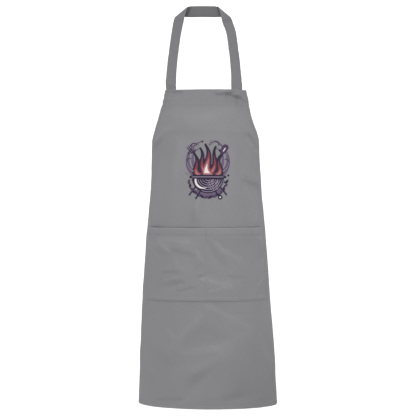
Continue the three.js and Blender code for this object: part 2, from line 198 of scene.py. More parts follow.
POCKET_STREAKS = [
    Streak(-181, 437, -143, 471, 6.1, -2.9),
    Streak(-156, 435, -126, 447, 3, -2.6),
    Streak(-133, 411, -105, 437, 4.1, 5.2),
    Streak(-120, 406, -49, 413, 6.6, 5.5),
    Streak(-123, 419, -114, 427, 3.6, -7.2),
    Streak(-86, 437, -44, 447, 9.6, -4.8),
    Streak(-80, 472, -60, 493, 5.5, 1.7),
    Streak(-22, 444, -11, 463, 5.5, 7),
    Streak(-119, 497, -86, 495, 4.6, -7.2),
    Streak(-115, 519, -73, 507, 4.1, 5.2),
    Streak(-105, 535, -67, 521, 4.5, -6),
    Streak(-70, 545, -38, 536, 5.2, -6.3),
    Streak(-17, 507, 1, 499, 3, -13.2),
    Streak(-15, 517, 0, 510, 2.8, 7),
    Streak(-18, 519, -5, 527, 2.8, -7.7),
    Streak(9, 418, 26, 452, 5.5, -2.2),
    Streak(26, 452, 50, 474, 6.1, -2.2),
    Streak(50, 474, 65, 506, 6.3, -1),
    Streak(65, 506, 94, 511, 5, -4.5),
    Streak(29, 418, 50, 439, 5, 7),
    Streak(50, 439, 89, 462, 5.2, 7),
    Streak(9, 518, 59, 530, 7.2, 7),
    Streak(9, 548, 50, 536, 2.5, 6.2),
    Streak(137, 471, 188, 451, 5.5, -2.2),
    Streak(159, 403, 182, 422, 4.1, 7),
    Streak(153, 535, 178, 511, 2.5, 7),
    Streak(162, 556, 194, 523, 4.1, -1.8),
    Streak(146, 422, 153, 445, 11, -2.4),
    Streak(-174, 513, -141, 523, 8.2, -1.1),
    Streak(-52, 485, -36, 501, 8.2, 0.6),
]

# Where the pocket's mouth stands a little further open, in millimetres, and how strong the painted shadow
# along the mouth is there
Gape = namedtuple("Gape", "across width height shade")
MOUTH_GAPES = [
    Gape(-150, 22, 4.0, 0.65),
    Gape(-45, 30, 1.4, 0.3),
    Gape(52, 28, 1.4, 0.2),
    Gape(140, 24, 1.6, 0.25),
]

# Painted shade, from 0 to 1: a painted shadow all along the pocket's mouth, and painted shade at the top hem
# and towards the low right corner
MOUTH_SHADE = 0.22
TOP_SHADE = 0.10
CORNER_SHADE = 0.12
TOP_SHADE_RANGE = (25 * MM, 75 * MM)
CORNER_SHADE_DROP = 600 * MM
CORNER_SHADE_ACROSS = (-80 * MM, 160 * MM)

# A streak's slope, ridge and painted highlight for each unit of tone, the share and steepness of its step,
# and the half widths over which the step eases out, its ends fade and its painted highlight spreads
SLOPE_PER_TONE = 0.08
RIDGE_PER_TONE = 0.12
HIGHLIGHT_PER_TONE = 0.045
STEP_SHARE = 0.886
STEP_STEEPNESS = 1.2
LEAN_FLOOR = 0.1
EASE_WIDTHS = 4
END_WIDTHS = 1.6
HIGHLIGHT_WIDTHS = 1.7

# Unevenness of the cloth: the height and size of its bumps, and the seed of their lattice. The broad
# one is skewed, by a share of the drop and a share of the way across.
Rumple = namedtuple("Rumple", "height size seed")
BROAD_RUMPLE = Rumple(0.7 * MM, 46 * MM, 3)
BROAD_SKEW = (0.6, -0.4)
FINE_RUMPLE = Rumple(0.2 * MM, 19 * MM, 5)
EDGE_PUCKER = Rumple(0.45 * MM, 9 * MM, 11)
BIB_SEAM_PUCKER = Rumple(0.22 * MM, 12 * MM, 12)
POCKET_RUMPLE = Rumple(0.5 * MM, 38 * MM, 21)
POCKET_PUCKER = Rumple(0.3 * MM, 10 * MM, 22)

# Creases in millimetres, each from one end to the other, a negative height is a dent
Crease = namedtuple("Crease", "across drop to_across to_drop width height")

# Neck strap's left leg, from the bib up to centre back: side is a share of STRAP_HALF_SPACING, reach
# of FRONT_REACH, rise of NECK_DROP; x, y, z point from the strap's middle to its outer edge and are
# longer than 1 along the slanted fold at the shoulder
Station = namedtuple("Station", "side reach rise x y z")
STRAP_STATIONS = [
    Station(0.988, 0.673, -0.900, -0.950, 0.31, 0.02),
    Station(0.952, 0.622, -0.694, -0.920, 0.39, 0.05),
    Station(0.902, 0.500, -0.496, -0.912, 0.40, 0.08),
    Station(0.840, 0.358, -0.292, -0.930, 0.35, 0.10),
    Station(0.790, 0.260, -0.172, -0.960, 0.20, 0.10),
    Station(0.765, 0.180, -0.108, -0.980, 0.16, -0.10),
    Station(0.735, 0.155, -0.062, -1.070, 0.08, -0.58),
    Station(0.700, 0.128, -0.030, -1.240, 0.00, -1.05),
    Station(0.610, 0.100, -0.024, -0.750, 0.02, -0.98),
    Station(0.520, 0.084, -0.021, -0.330, 0.04, -0.99),
    Station(0.410, 0.066, -0.017, 0.060, 0.05, -1.06),
    Station(0.235, 0.019, -0.009, 0.040, 0.00, -1.07),
]

# Creases across the strap's legs: the leg's side, then its crease by width and by length above the bib
STRAP_CREASES = [
    (-1, Crease(-15, 40, 15, 38, 2.5, -1.0)),
    (-1, Crease(-15, 12, 12, 26, 3.5, 1.3)),
    (-1, Crease(-15, 7, 8, 10, 3, -1.5)),
    (-1, Crease(0, 1, 15, 3, 3, -1.0)),
    (-1, Crease(-15, 118, 15, 108, 6, -0.8)),
    (1, Crease(-15, 172, 10, 168, 4, 0.8)),
    (1, Crease(-15, 132, 15, 124, 5, -1.0)),
    (1, Crease(-15, 68, 15, 66, 2.2, -1.0)),
    (1, Crease(-15, 52, 15, 40, 5, 1.0)),
    (1, Crease(-15, 18, 15, 30, 4, -1.1)),
    (1, Crease(-12, 5, 15, 6, 3, -1.3)),
]

# Mesh steps
CLOTH_STEP = 4.8 * MM
PANEL_COLUMNS = 148
STRAP_STEPS = 22
FINE_STEP = 2.4 * MM
FINE_DEPTH = 72 * MM
TABLE_STEP = 1 * MM
NORMAL_REACH = 4 * MM
ARC_STEPS = 960
RIM_ANGLES = np.radians([0, 30, 60, 90])
LATTICE = 128
EDGE_OFFSETS = np.array([2.2, 3.2, 4.6, 6.2, 7.5, 8.2, 8.9, 9.8, 11, 13, 16]) * MM


def smoothstep(value, low, high):
    share = np.clip((value - low) / (high - low), 0, 1)
    return share * share * (3 - 2 * share)


def hermite(share, start, leave, end, reach):
    """Smooth way from start to end, with the slopes leave and reach at its ends."""
    square = share ** 2
    cube = share ** 3
    return (
        (2 * cube - 3 * square + 1) * start
        + (cube - 2 * square + share) * leave
        + (3 * square - 2 * cube) * end
        + (cube - square) * reach
    )


def through(rows, at, column):
    """Smooth curve through one column of a table, as the solids have it."""
    places = np.array([row.at for row in rows])
    values = np.array([getattr(row, column) for row in rows])
    before = np.maximum(np.arange(len(rows)) - 1, 0)
    after = np.minimum(np.arange(len(rows)) + 1, len(rows) - 1)
    slopes = (values[after] - values[before]) / (places[after] - places[before])
    low = np.clip(np.searchsorted(places, at) - 1, 0, len(rows) - 2)
    span = places[low + 1] - places[low]
    share = np.clip((at - places[low]) / span, 0, 1)
    return hermite(share, values[low], slopes[low] * span, values[low + 1], slopes[low + 1] * span)


def plan_table():
    """Plan outline of the worn form for each level, by running length from centre front."""
    drops = np.arange(0, BODY_LENGTH + TABLE_STEP, TABLE_STEP)
    at = drops / BODY_LENGTH
    half = through(LEVELS, at, "half") * HEM_SPREAD
    front = through(LEVELS, at, "front") * FRONT_REACH - SIDE_REACH
    angles = np.linspace(0, 1.06 * np.pi, ARC_STEPS)
    depth = np.where(angles[None, :] <= np.pi / 2, front[:, None], BACK_DEPTH)
    x = half[:, None] * np.sin(angles)
    y = -SIDE_REACH - depth * np.cos(angles)
    steps = np.hypot(np.diff(x, axis=1), np.diff(y, axis=1))
    run = np.concatenate([np.zeros((len(drops), 1)), np.cumsum(steps, axis=1)], axis=1)
    reach = np.arange(0, run[:, -1].min(), TABLE_STEP)
    table_x = np.array([np.interp(reach, run[row], x[row]) for row in range(len(drops))])
    table_y = np.array([np.interp(reach, run[row], y[row]) for row in range(len(drops))])
    half_way = np.array([np.interp(np.pi, angles, run[row]) for row in range(len(drops))])
    return drops, np.stack([table_x, table_y], axis=-1), half_way


PLAN_DROPS, PLAN, HALF_WAY = plan_table()


def way_round(drop):
    """Length along the form from centre front to centre back."""
    return float(np.interp(drop, PLAN_DROPS, HALF_WAY))


def blended(table, row, column, down, over):
    """Value between four neighbours of a table, at shares of the way down and over."""
    upper = table[row, column] * (1 - over) + table[row, column + 1] * over
    lower = table[row + 1, column] * (1 - over) + table[row + 1, column + 1] * over
    return upper * (1 - down) + lower * down


def form_points(across, drop):
    """Points of the smooth worn form."""
    across, drop = np.broadcast_arrays(np.asarray(across, float), np.asarray(drop, float))
    down = np.clip(drop / TABLE_STEP, 0, PLAN.shape[0] - 1.001)
    over = np.clip(np.abs(across) / TABLE_STEP, 0, PLAN.shape[1] - 1.001)
    row = down.astype(int)
    column = over.astype(int)
    plan = blended(PLAN, row, column, (down - row)[..., None], (over - column)[..., None])
    sway = through(LEVELS, drop / BODY_LENGTH, "sway") * HEM_SPREAD
    side = across / HEM_HALF_WIDTH
    droop = HEM_DROOP * side * (side + DROOP_TO_RIGHT) * (drop / BODY_LENGTH) ** 4
    x = np.sign(across) * plan[..., 0] + sway
    return np.stack([x, plan[..., 1], -NECK_DROP - drop - droop], axis=-1)


def unit(vectors):
    return vectors / np.linalg.norm(vectors, axis=-1, keepdims=True)


def form_normals(across, drop):
    """Directions straight out of the cloth."""
    along = form_points(across + NORMAL_REACH, drop) - form_points(across - NORMAL_REACH, drop)
    down = form_points(across, drop + NORMAL_REACH) - form_points(across, drop - NORMAL_REACH)
    return unit(np.cross(down, along))


def along_band(across, drop, row):
    """Distance from a streak's middle line, its fading at the ends and how far it lies from upright."""
    start = np.array([row.across, row.drop]) * MM
    end = np.array([row.to_across, row.to_drop]) * MM
    length = np.linalg.norm(end - start)
    way = (end - start) / length
    down = np.array([way[1], -way[0]]) * (1 if way[0] < 0 else -1)
    along = (across - start[0]) * way[0] + (drop - start[1]) * way[1]
    off = (across - start[0]) * down[0] + (drop - start[1]) * down[1]
    past = np.maximum(np.maximum(-along, along - length), 0)
    return off, np.exp(-(past / (END_WIDTHS * row.width * MM)) ** 2), down[1]


def streak_height(across, drop, row):
    """A step that tilts its band to or from the light and eases out beside it. Upright rows are ridges."""
    off, fade, lean = along_band(across, drop, row)
    width = row.width * MM
    steep = STEP_STEEPNESS * off / width
    step = STEP_SHARE * width * (np.tanh(steep) - np.tanh(steep / EASE_WIDTHS))
    bump = width * np.exp(-(off / width) ** 2)
    slope = SLOPE_PER_TONE * step * lean / (lean ** 2 + LEAN_FLOOR)
    return row.tone * (slope + RIDGE_PER_TONE * bump * (1 - lean) ** 2) * fade


def painted_highlight_bands(across, drop, rows):
    """Painted highlight: paler cloth along the streaks that face the light."""
    wear_and_highlight = np.zeros(np.broadcast(across, drop).shape)
    for row in rows:
        off, fade = along_band(across, drop, row)[:2]
        wear_and_highlight += HIGHLIGHT_PER_TONE * max(row.tone, 0) * fade * np.exp(-(off / (HIGHLIGHT_WIDTHS * row.width * MM)) ** 2)
    return wear_and_highlight


def ridge(across, drop, crease):
    """Height of one crease, faded at its ends."""
    off, fade = along_band(across, drop, crease)[:2]
    return crease.height * MM * fade * np.exp(-(off / (crease.width * MM)) ** 2)


def rumple(across, drop, row):
    """Smooth seeded unevenness, as high as the row's height either way."""
    lattice = np.random.default_rng(row.seed).uniform(-1, 1, (LATTICE, LATTICE))
    over = across / row.size + LATTICE / 2
    down = drop / row.size + LATTICE / 4
    left = np.clip(np.floor(over).astype(int), 0, LATTICE - 2)
    upper = np.clip(np.floor(down).astype(int), 0, LATTICE - 2)
    over = np.clip(over - left, 0, 1)
    down = np.clip(down - upper, 0, 1)
    over = over ** 3 * (over * (over * 6 - 15) + 10)
    down = down ** 3 * (down * (down * 6 - 15) + 10)
    return row.height * blended(lattice.T, upper, left, down, over)


def fold_height(across, drop):
    """Height of the folds, creases and unevenness above the smooth form."""
    height = np.zeros(np.broadcast(across, drop).shape)
    for fold in FOLDS:
        side = across - fold.across * WAIST_HALF_WIDTH
        down = drop - fold.down * BODY_LENGTH
        turn = np.radians(fold.turn)
        along = (down * np.cos(turn) + side * np.sin(turn)) / (fold.length * BODY_LENGTH)
        off = (side * np.cos(turn) - down * np.sin(turn)) / (fold.width * BODY_LENGTH)
        height += fold.height * FOLD_DEPTH * np.exp(-along ** 2 - off ** 2)
    for row in PANEL_STREAKS:
        height += streak_height(across, drop, row)
    height += rumple(across + BROAD_SKEW[0] * drop, drop + BROAD_SKEW[1] * across, BROAD_RUMPLE)
    return height + rumple(across, drop, FINE_RUMPLE)


def cloth_points(across, drop, above):
    """Points at a height above the panel's outer face."""
    across = np.asarray(across, float)
    drop = np.asarray(drop, float)
    lift = (fold_height(across, drop) + above)[..., None]
    return form_points(across, drop) + form_normals(across, drop) * lift


def panel_edge(drop):
    """Half the flat width of the panel."""
    reach = through(ARMHOLE, drop / WAIST_DROP, "reach")
    armhole = BIB_HALF_WIDTH + (WAIST_HALF_WIDTH - BIB_HALF_WIDTH) * reach
    share = (drop - WAIST_DROP) / (BODY_LENGTH - WAIST_DROP)
    skirt = WAIST_HALF_WIDTH + (HEM_HALF_WIDTH - WAIST_HALF_WIDTH) * share
    return np.where(drop < WAIST_DROP, armhole, skirt)


def edge_slant(drop):
    """How much wider a strip along the edge measures along the level."""
    slope = (panel_edge(drop + MM) - panel_edge(drop - MM)) / (2 * MM)
    return np.hypot(1, slope)


def pocket_edge(drop):
    share = np.clip((drop - POCKET_DROP) / POCKET_HEIGHT, 0, 1)
    return POCKET_TOP_HALF_WIDTH + (POCKET_BOTTOM_HALF_WIDTH - POCKET_TOP_HALF_WIDTH) * share


def groove(distance, depth, width):
    return depth * np.exp(-(distance / width) ** 2)


# Meshes

def make_object(name, vertices, faces, material, flat_places=None, wear_and_highlight=None, shade=None):
    """Mesh object at the origin, smooth, with its flat cloth places as UVs."""
    mesh = bpy.data.meshes.new(name)
    mesh.from_pydata(vertices.tolist(), [], faces.tolist() if hasattr(faces, "tolist") else faces)
    mesh.shade_smooth()
    if flat_places is not None:
        corners = np.empty(len(mesh.loops), dtype=np.int32)
        mesh.loops.foreach_get("vertex_index", corners)
        layer = mesh.uv_layers.new(name="Cloth")
        layer.data.foreach_set("uv", flat_places[corners].astype(np.float32).ravel())
    for title, values in (("Wear", wear_and_highlight), ("Shade", shade)):
        if values is not None:
            layer = mesh.attributes.new(title, "FLOAT", "POINT")
            layer.data.foreach_set("value", values.astype(np.float32).ravel())
    mesh.materials.append(material)
    piece = bpy.data.objects.new(name, mesh)
    bpy.context.scene.collection.objects.link(piece)
    return piece


def attach(piece, slot, *nodes):
    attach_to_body(piece, "root")
    if nodes:
        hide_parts(*nodes)
    return piece


def quads(index):
    """Quads over a grid of vertex numbers."""
    return np.stack([index[:-1, :-1], index[1:, :-1], index[1:, 1:], index[:-1, 1:]], axis=-1).reshape(-1, 4)


def rounded(front, back, edge, radius):
    """Draws two faces of a layer together in a half round along its edge."""
    middle = (front + back) / 2
    half = (front - back) / 2
    share = 1 - np.clip(edge / radius, 0, 1)
    half = half * np.sqrt(np.clip(1 - share ** 2, 0, 1))
    return middle + half, middle - half


def lay_grid(name, across, drop, front, back, material, wear_and_highlight, shade=None):
    """Closed layer of cloth over a grid of places. Its two faces share the grid's outer ring."""
    rows, columns = across.shape
    outside = np.arange(rows * columns).reshape(rows, columns)
    inside = outside.copy()
    inner = np.s_[1:-1, 1:-1]
    inside[inner] = rows * columns + np.arange((rows - 2) * (columns - 2)).reshape(rows - 2, columns - 2)
    vertices = np.concatenate([
        cloth_points(across, drop, front).reshape(-1, 3),
        cloth_points(across[inner], drop[inner], back[inner]).reshape(-1, 3),
    ])
    flat = np.stack([across, drop], axis=-1)
    places = np.concatenate([flat.reshape(-1, 2), flat[inner].reshape(-1, 2)])
    worn_and_highlit = np.concatenate([wear_and_highlight.ravel(), wear_and_highlight[inner].ravel()])
    if shade is not None:
        shade = np.concatenate([shade.ravel(), shade[inner].ravel()])
    faces = np.concatenate([quads(outside), quads(inside)[:, ::-1]])
    return make_object(name, vertices, faces, material, places, worn_and_highlit, shade)


def spaced(start, end, step):
    count = max(1, int(np.ceil((end - start) / step - 1e-6)))
    return np.linspace(start, end, count + 1)


def run_along(points):
    """Running length along a line of points."""
    return np.concatenate([[0], np.cumsum(np.linalg.norm(np.diff(points, axis=0), axis=1))])


def plain_grid(rows, edge, parts):
    """Places that fill each row from edge to edge in even parts."""
    across = edge[:, None] * spaced(-1, 1, 2 / parts)
    return across, np.broadcast_to(rows[:, None], across.shape)


def edged_grid(rows, edge, offsets, shares):
    """Places at set distances from both edges of each row, and at shares of the width between them."""
    edge = edge[:, None]
    across = np.concatenate([
        -edge + offsets[:, :-1], (edge - offsets[:, -1:]) * shares, edge - offsets[:, -2::-1],
    ], axis=1)
    return across, np.broadcast_to(rows[:, None], across.shape)


def closing_ring(shape):
    """1 inside a grid and 0 along its outer ring, where the two faces of a layer meet."""
    ring = np.zeros(shape)
    ring[1:-1, 1:-1] = 1
    return ring


def rim_offsets(radius):
    return radius * (1 - np.cos(RIM_ANGLES))


# Materials

RIBS_PER_METRE = 900.0
RIB_SLANT = 1.4
WARP_GRAIN = (1800, 90, 1)
WEFT_GRAIN = (70, 1500, 1)
THREAD_GRAIN = (2200, 2200, 2200)
MEAN_YARN_TONE = 0.37
# Pale grey that real rubbing and the painted highlight mix the cloth towards
RUBBED_AND_HIGHLIT_GREY = (0.62, 0.61, 0.62, 1.0)
# Share of the cloth's colour that a full painted shade darkens it to
SHADED_PART = 0.2
THREAD_SHADE = 0.7


def new_group(name, inputs, outputs):
    """Shader node group with named sockets."""
    group = bpy.data.node_groups.new(name, "ShaderNodeTree")
    for socket, kind, value in inputs:
        made = group.interface.new_socket(name=socket, in_out="INPUT", socket_type=kind)
        if value is not None:
            made.default_value = value
    for socket, kind in outputs:
        group.interface.new_socket(name=socket, in_out="OUTPUT", socket_type=kind)
    return group, group.nodes.new("NodeGroupInput"), group.nodes.new("NodeGroupOutput")


def feed(tree, socket, value):
    """Gives a socket a plain value, or links it to another node's socket."""
    if isinstance(value, (int, float, tuple)):
        socket.default_value = value
    else:
        tree.links.new(value, socket)


def math_node(tree, operation, *values):
    node = tree.nodes.new("ShaderNodeMath")
    node.operation = operation
    for socket, value in zip(node.inputs, values):
        feed(tree, socket, value)
    return node.outputs[0]


def plus(tree, *values):
    return math_node(tree, "ADD", *values)


def minus(tree, *values):
    return math_node(tree, "SUBTRACT", *values)


def times(tree, *values):
    return math_node(tree, "MULTIPLY", *values)


def noise_node(tree, place, scale, detail):
    node = tree.nodes.new("ShaderNodeTexNoise")
    node.inputs["Scale"].default_value = scale
    node.inputs["Detail"].default_value = detail
    tree.links.new(place, node.inputs["Vector"])
    return node.outputs["Fac"]


def stretched(tree, place, scale):
    """The place scaled differently along each direction of the cloth."""
    node = tree.nodes.new("ShaderNodeVectorMath")
    node.operation = "MULTIPLY"
    node.inputs[1].default_value = scale
    tree.links.new(place, node.inputs[0])
    return node.outputs[0]


def twill_group():
    """Slanted ribs of a twill, with yarns that vary in thickness."""
    group, given, result = new_group(
        "Twill Weave",
        [("Place", "NodeSocketVector", None), ("Ribs Per Metre", "NodeSocketFloat", RIBS_PER_METRE)],
        [("Height", "NodeSocketFloat"), ("Tone", "NodeSocketFloat")],
    )
    place = given.outputs["Place"]
    split = group.nodes.new("ShaderNodeSeparateXYZ")
    group.links.new(place, split.inputs[0])
    across = times(group, split.outputs["X"], given.outputs["Ribs Per Metre"])
    down = times(group, split.outputs["Y"], given.outputs["Ribs Per Metre"])
    slub = noise_node(group, stretched(group, place, WARP_GRAIN), scale=1.0, detail=2.0)
    weft = noise_node(group, stretched(group, place, WEFT_GRAIN), scale=1.0, detail=2.0)
    slant = plus(group, across, times(group, down, RIB_SLANT))
    ribs = math_node(group, "SINE", times(group, slant, 2 * np.pi))
    floats = math_node(group, "SINE", times(group, across, 4 * np.pi))
    weave = plus(group, times(group, ribs, 0.35), times(group, floats, 0.15))
    yarns = plus(group, times(group, slub, 0.4), times(group, weft, 0.35))
    group.links.new(plus(group, weave, yarns), result.inputs["Height"])
    group.links.new(yarns, result.inputs["Tone"])
    return group


def colour_mix(tree, factor, first, second):
    node = tree.nodes.new("ShaderNodeMix")
    node.data_type = "RGBA"
    for number, value in ((0, factor), (6, first), (7, second)):
        feed(tree, node.inputs[number], value)
    return node.outputs[2]


def mottle_group():
    """Uneven dye: broad soft patches, fine speckle and the yarns' own tone."""
    group, given, result = new_group(
        "Uneven Dye",
        [
            ("Color", "NodeSocketColor", None),
            ("Place", "NodeSocketVector", None),
            ("Yarn Tone", "NodeSocketFloat", 0.4),
            ("Patches", "NodeSocketFloat", 0.1),
            ("Speckle", "NodeSocketFloat", 0.15),
        ],
        [("Color", "NodeSocketColor")],
    )
    patches = noise_node(group, given.outputs["Place"], scale=9.0, detail=3.0)
    speckle = noise_node(group, given.outputs["Place"], scale=260.0, detail=2.0)
    patch_part = times(group, minus(group, patches, 0.5), given.outputs["Patches"])
    speckle_part = times(group, minus(group, speckle, 0.5), given.outputs["Speckle"])
    yarn_part = times(group, minus(group, given.outputs["Yarn Tone"], MEAN_YARN_TONE), 0.5)
    change = plus(group, plus(group, patch_part, speckle_part), yarn_part)
    tone = plus(group, change, 1.0)
    scale = group.nodes.new("ShaderNodeVectorMath")
    scale.operation = "SCALE"
    group.links.new(given.outputs["Color"], scale.inputs[0])
    group.links.new(tone, scale.inputs["Scale"])
    group.links.new(scale.outputs[0], result.inputs["Color"])
    return group


def wear_and_highlight_group():
    """Lighter cloth where the value is high: real rubbing at rims and folds, and a painted highlight along
    the streaks that face the light.
    """
    group, given, result = new_group(
        "Rubbed Edges And Highlights",
        [
            ("Color", "NodeSocketColor", None),
            ("Wear", "NodeSocketFloat", 0.0),
            ("Place", "NodeSocketVector", None),
            ("Strength", "NodeSocketFloat", 0.15),
        ],
        [("Color", "NodeSocketColor")],
    )
    patchy = noise_node(group, given.outputs["Place"], scale=120.0, detail=3.0)
    amount = times(group, times(group, given.outputs["Wear"], patchy), 2.0)
    factor = times(group, amount, given.outputs["Strength"])
    mixed = colour_mix(group, factor, given.outputs["Color"], RUBBED_AND_HIGHLIT_GREY)
    group.links.new(mixed, result.inputs["Color"])
    return group


TWILL = twill_group()
DYE = mottle_group()
RUB_AND_HIGHLIGHT = wear_and_highlight_group()


def place_group(tree, group, **values):
    node = tree.nodes.new("ShaderNodeGroup")
    node.node_tree = group
    for name, value in values.items():
        feed(tree, node.inputs[name.replace("_", " ")], value)
    return node.outputs


def new_material(name, roughness, sheen):
    material = bpy.data.materials.new(name)
    material.use_nodes = True
    shader = material.node_tree.nodes["Principled BSDF"]
    shader.inputs["Roughness"].default_value = roughness
    shader.inputs["Sheen Weight"].default_value = sheen
    shader.inputs["Sheen Roughness"].default_value = 0.5
    shader.inputs["Specular IOR Level"].default_value = 0.12
    return material, material.node_tree, shader


def cloth_place(tree):
    """Flat place on the cloth, from its UVs."""
    node = tree.nodes.new("ShaderNodeUVMap")
    node.uv_map = "Cloth"
    return node.outputs[0]


def painted(tree, name):
    """Value that the mesh carries at each point."""
    node = tree.nodes.new("ShaderNodeAttribute")
    node.attribute_name = name
    return node.outputs["Fac"]


def dyed_twill(tree, place, color, patches, speckle):
    """Height of the weave and its unevenly dyed colour."""
    twill = place_group(tree, TWILL, Place=place, Ribs_Per_Metre=RIBS_PER_METRE)
    dyed = place_group(
        tree, DYE, Color=(*color, 1.0), Place=place, Yarn_Tone=twill["Tone"],
        Patches=patches, Speckle=speckle,
    )
    return twill["Height"], dyed[0]


def add_bump(tree, shader, height, strength, depth):
    bump = tree.nodes.new("ShaderNodeBump")
    bump.inputs["Strength"].default_value = strength
    bump.inputs["Distance"].default_value = depth
    tree.links.new(height, bump.inputs["Height"])
    tree.links.new(bump.outputs[0], shader.inputs["Normal"])


def woven_cloth(name, color, patches, rub_and_highlight):
    """Matt grey twill."""
    material, tree, shader = new_material(name, roughness=0.95, sheen=0.02)
    place = cloth_place(tree)
    height, dyed = dyed_twill(tree, place, color, patches=patches, speckle=0.16)
    # Lighter mix: real rubbing at rims and folds, and the painted highlight along light-facing streaks
    rubbed_and_highlit = place_group(tree, RUB_AND_HIGHLIGHT, Color=dyed, Wear=painted(tree, "Wear"), Place=place, Strength=rub_and_highlight)
    # Painted shade: the Shade value mixes the colour towards SHADED_PART of it
    darker = (*(part * SHADED_PART for part in color), 1.0)
    shaded = colour_mix(tree, painted(tree, "Shade"), rubbed_and_highlit[0], darker)
    tree.links.new(shaded, shader.inputs["Base Color"])
    add_bump(tree, shader, height, strength=0.6, depth=0.15 * MM)
    return material


def thread(name, color):
    """Twisted sewing thread."""
    material, tree, shader = new_material(name, roughness=0.7, sheen=0.1)
    place = tree.nodes.new("ShaderNodeTexCoord")
    strands = noise_node(tree, stretched(tree, place.outputs["Object"], THREAD_GRAIN), scale=1.0, detail=1.0)
    darker = (*(part * THREAD_SHADE for part in color), 1.0)
    mixed = colour_mix(tree, strands, darker, (*color, 1.0))
    tree.links.new(mixed, shader.inputs["Base Color"])
    return material


def print_ink(name, color):
    """Screen-print ink, a little smoother than the cloth, with the weave showing through."""
    material, tree, shader = new_material(name, roughness=0.62, sheen=0.0)
    height, dyed = dyed_twill(tree, cloth_place(tree), color, patches=0.2, speckle=0.35)
    tree.links.new(dyed, shader.inputs["Base Color"])
    add_bump(tree, shader, height, strength=0.3, depth=0.1 * MM)
    return material


GREY = (0.262, 0.258, 0.272)
STRAP_GREY = (0.212, 0.209, 0.220)
INNER_GREY = (0.205, 0.202, 0.214)
PANEL_CLOTH = woven_cloth("Panel Twill", GREY, patches=0.10, rub_and_highlight=0.10)
POCKET_CLOTH = woven_cloth("Pocket Twill", GREY, patches=0.12, rub_and_highlight=0.12)
HEM_CLOTH = woven_cloth("Hem Twill", INNER_GREY, patches=0.10, rub_and_highlight=0.10)
STRAP_CLOTH = woven_cloth("Strap Twill", STRAP_GREY, patches=0.10, rub_and_highlight=0.14)
TIE_CLOTH = woven_cloth("Tie Twill", STRAP_GREY, patches=0.10, rub_and_highlight=0.14)
GREY_THREAD = thread("Grey Thread", (0.25, 0.247, 0.26))


# Body panel and its hems

SIDE_STITCH = SIDE_HEM - SEAM_INSET
BOTTOM_STITCH = BOTTOM_HEM - SEAM_INSET
BIB_STITCH = BIB_HEM - SEAM_INSET
PRESS_LINE = 610 * MM
STITCH_GROOVE = 1.1 * MM
TUCK = 1.3 * MM
TURN_START = 2.4 * MM
TURN_END = 3.6 * MM
RUBBED_RIM = 1.6 * MM
RUBBED_FOLD = 1.2 * MM


def from_side(across, drop):
    """Distance to the panel's side edge."""
    return (panel_edge(drop) - np.abs(across)) / edge_slant(drop)


def nearest_edge(across, drop):
    return np.minimum(np.minimum(from_side(across, drop), drop), BODY_LENGTH - drop)


def panel_front(across, drop):
    """Grooves that the hems' stitching pulls into the panel's face, and the puckers beside them."""
    side = from_side(across, drop)
    relief = np.zeros(np.broadcast(across, drop).shape)
    relief -= groove(side - SIDE_STITCH, 0.35 * MM, STITCH_GROOVE)
    relief -= groove(drop - BIB_STITCH, 0.45 * MM, STITCH_GROOVE)
    relief -= groove(BODY_LENGTH - drop - BOTTOM_STITCH, 0.4 * MM, STITCH_GROOVE)
    beside = np.minimum(np.minimum(side, drop * 0.6), BODY_LENGTH - drop)
    relief += rumple(across, drop, EDGE_PUCKER) * groove(beside, 1, 11 * MM)
    relief += rumple(across, drop, BIB_SEAM_PUCKER) * groove(drop - BIB_STITCH, 1, 7 * MM)
    return relief - groove(drop - PRESS_LINE, 0.25 * MM, 1.6 * MM)


def panel_shade(across, drop):
    """Painted shadow along the pocket's mouth, and painted shade at the top hem and towards the low right
    corner.
    """
    strength = sum(groove(across / MM - row.across, row.shade, row.width) for row in MOUTH_GAPES)
    inside = smoothstep(POCKET_TOP_HALF_WIDTH - np.abs(across), 0, EDGE_GAP)
    line = inside * (MOUTH_SHADE + strength) * groove(drop - POCKET_DROP + 0.4 * MM, 1, 2 * MM)
    top = TOP_SHADE * (1 - smoothstep(drop, *TOP_SHADE_RANGE))
    low = smoothstep(drop, CORNER_SHADE_DROP, BODY_LENGTH)
    return line + top + CORNER_SHADE * low * smoothstep(across, *CORNER_SHADE_ACROSS)


def body_panel():
    radius = TURNED_HEM / 2
    offsets = np.concatenate([rim_offsets(radius), EDGE_OFFSETS])
    marks = [
        BIB_STITCH + np.array([-2.2, -1.1, 0, 1.1, 2.2]) * MM,
        PRESS_LINE + np.array([-3, -1.5, 0, 1.5, 3]) * MM,
        POCKET_DROP + np.array([-4, -2.6, -1.6, -0.7, 0.4, 3]) * MM,
    ]
    fine = spaced(offsets[-1], FINE_DEPTH, FINE_STEP)
    middle = spaced(FINE_DEPTH, BODY_LENGTH - offsets[-1], CLOTH_STEP)
    rows = np.unique(np.concatenate([offsets, *marks, fine, middle, BODY_LENGTH - offsets]))
    slanted_offsets = offsets * edge_slant(rows)[:, None]
    across, drop = edged_grid(rows, panel_edge(rows), slanted_offsets, spaced(-1, 1, 2 / PANEL_COLUMNS))
    distance = np.maximum(nearest_edge(across, drop), 0)
    relief = panel_front(across, drop)
    back = relief - CLOTH - (CLOTH + GAP) * (1 - smoothstep(distance, TURN_START, TURN_END))
    front, back = rounded(relief, back, distance, radius)
    # Real rubbing along the rims, plus a painted highlight along the streaks that face the light
    wear_and_highlight = groove(distance, 1, RUBBED_RIM) + painted_highlight_bands(across, drop, PANEL_STREAKS)
    # Painted shade from panel_shade: a shadow along the pocket's mouth, and shade at the top hem and towards
    # the low right corner
    piece = lay_grid("apron_panel", across, drop, front, back, PANEL_CLOTH, wear_and_highlight, panel_shade(across, drop))
    return attach(piece, "apron_cloth", "body_panel")


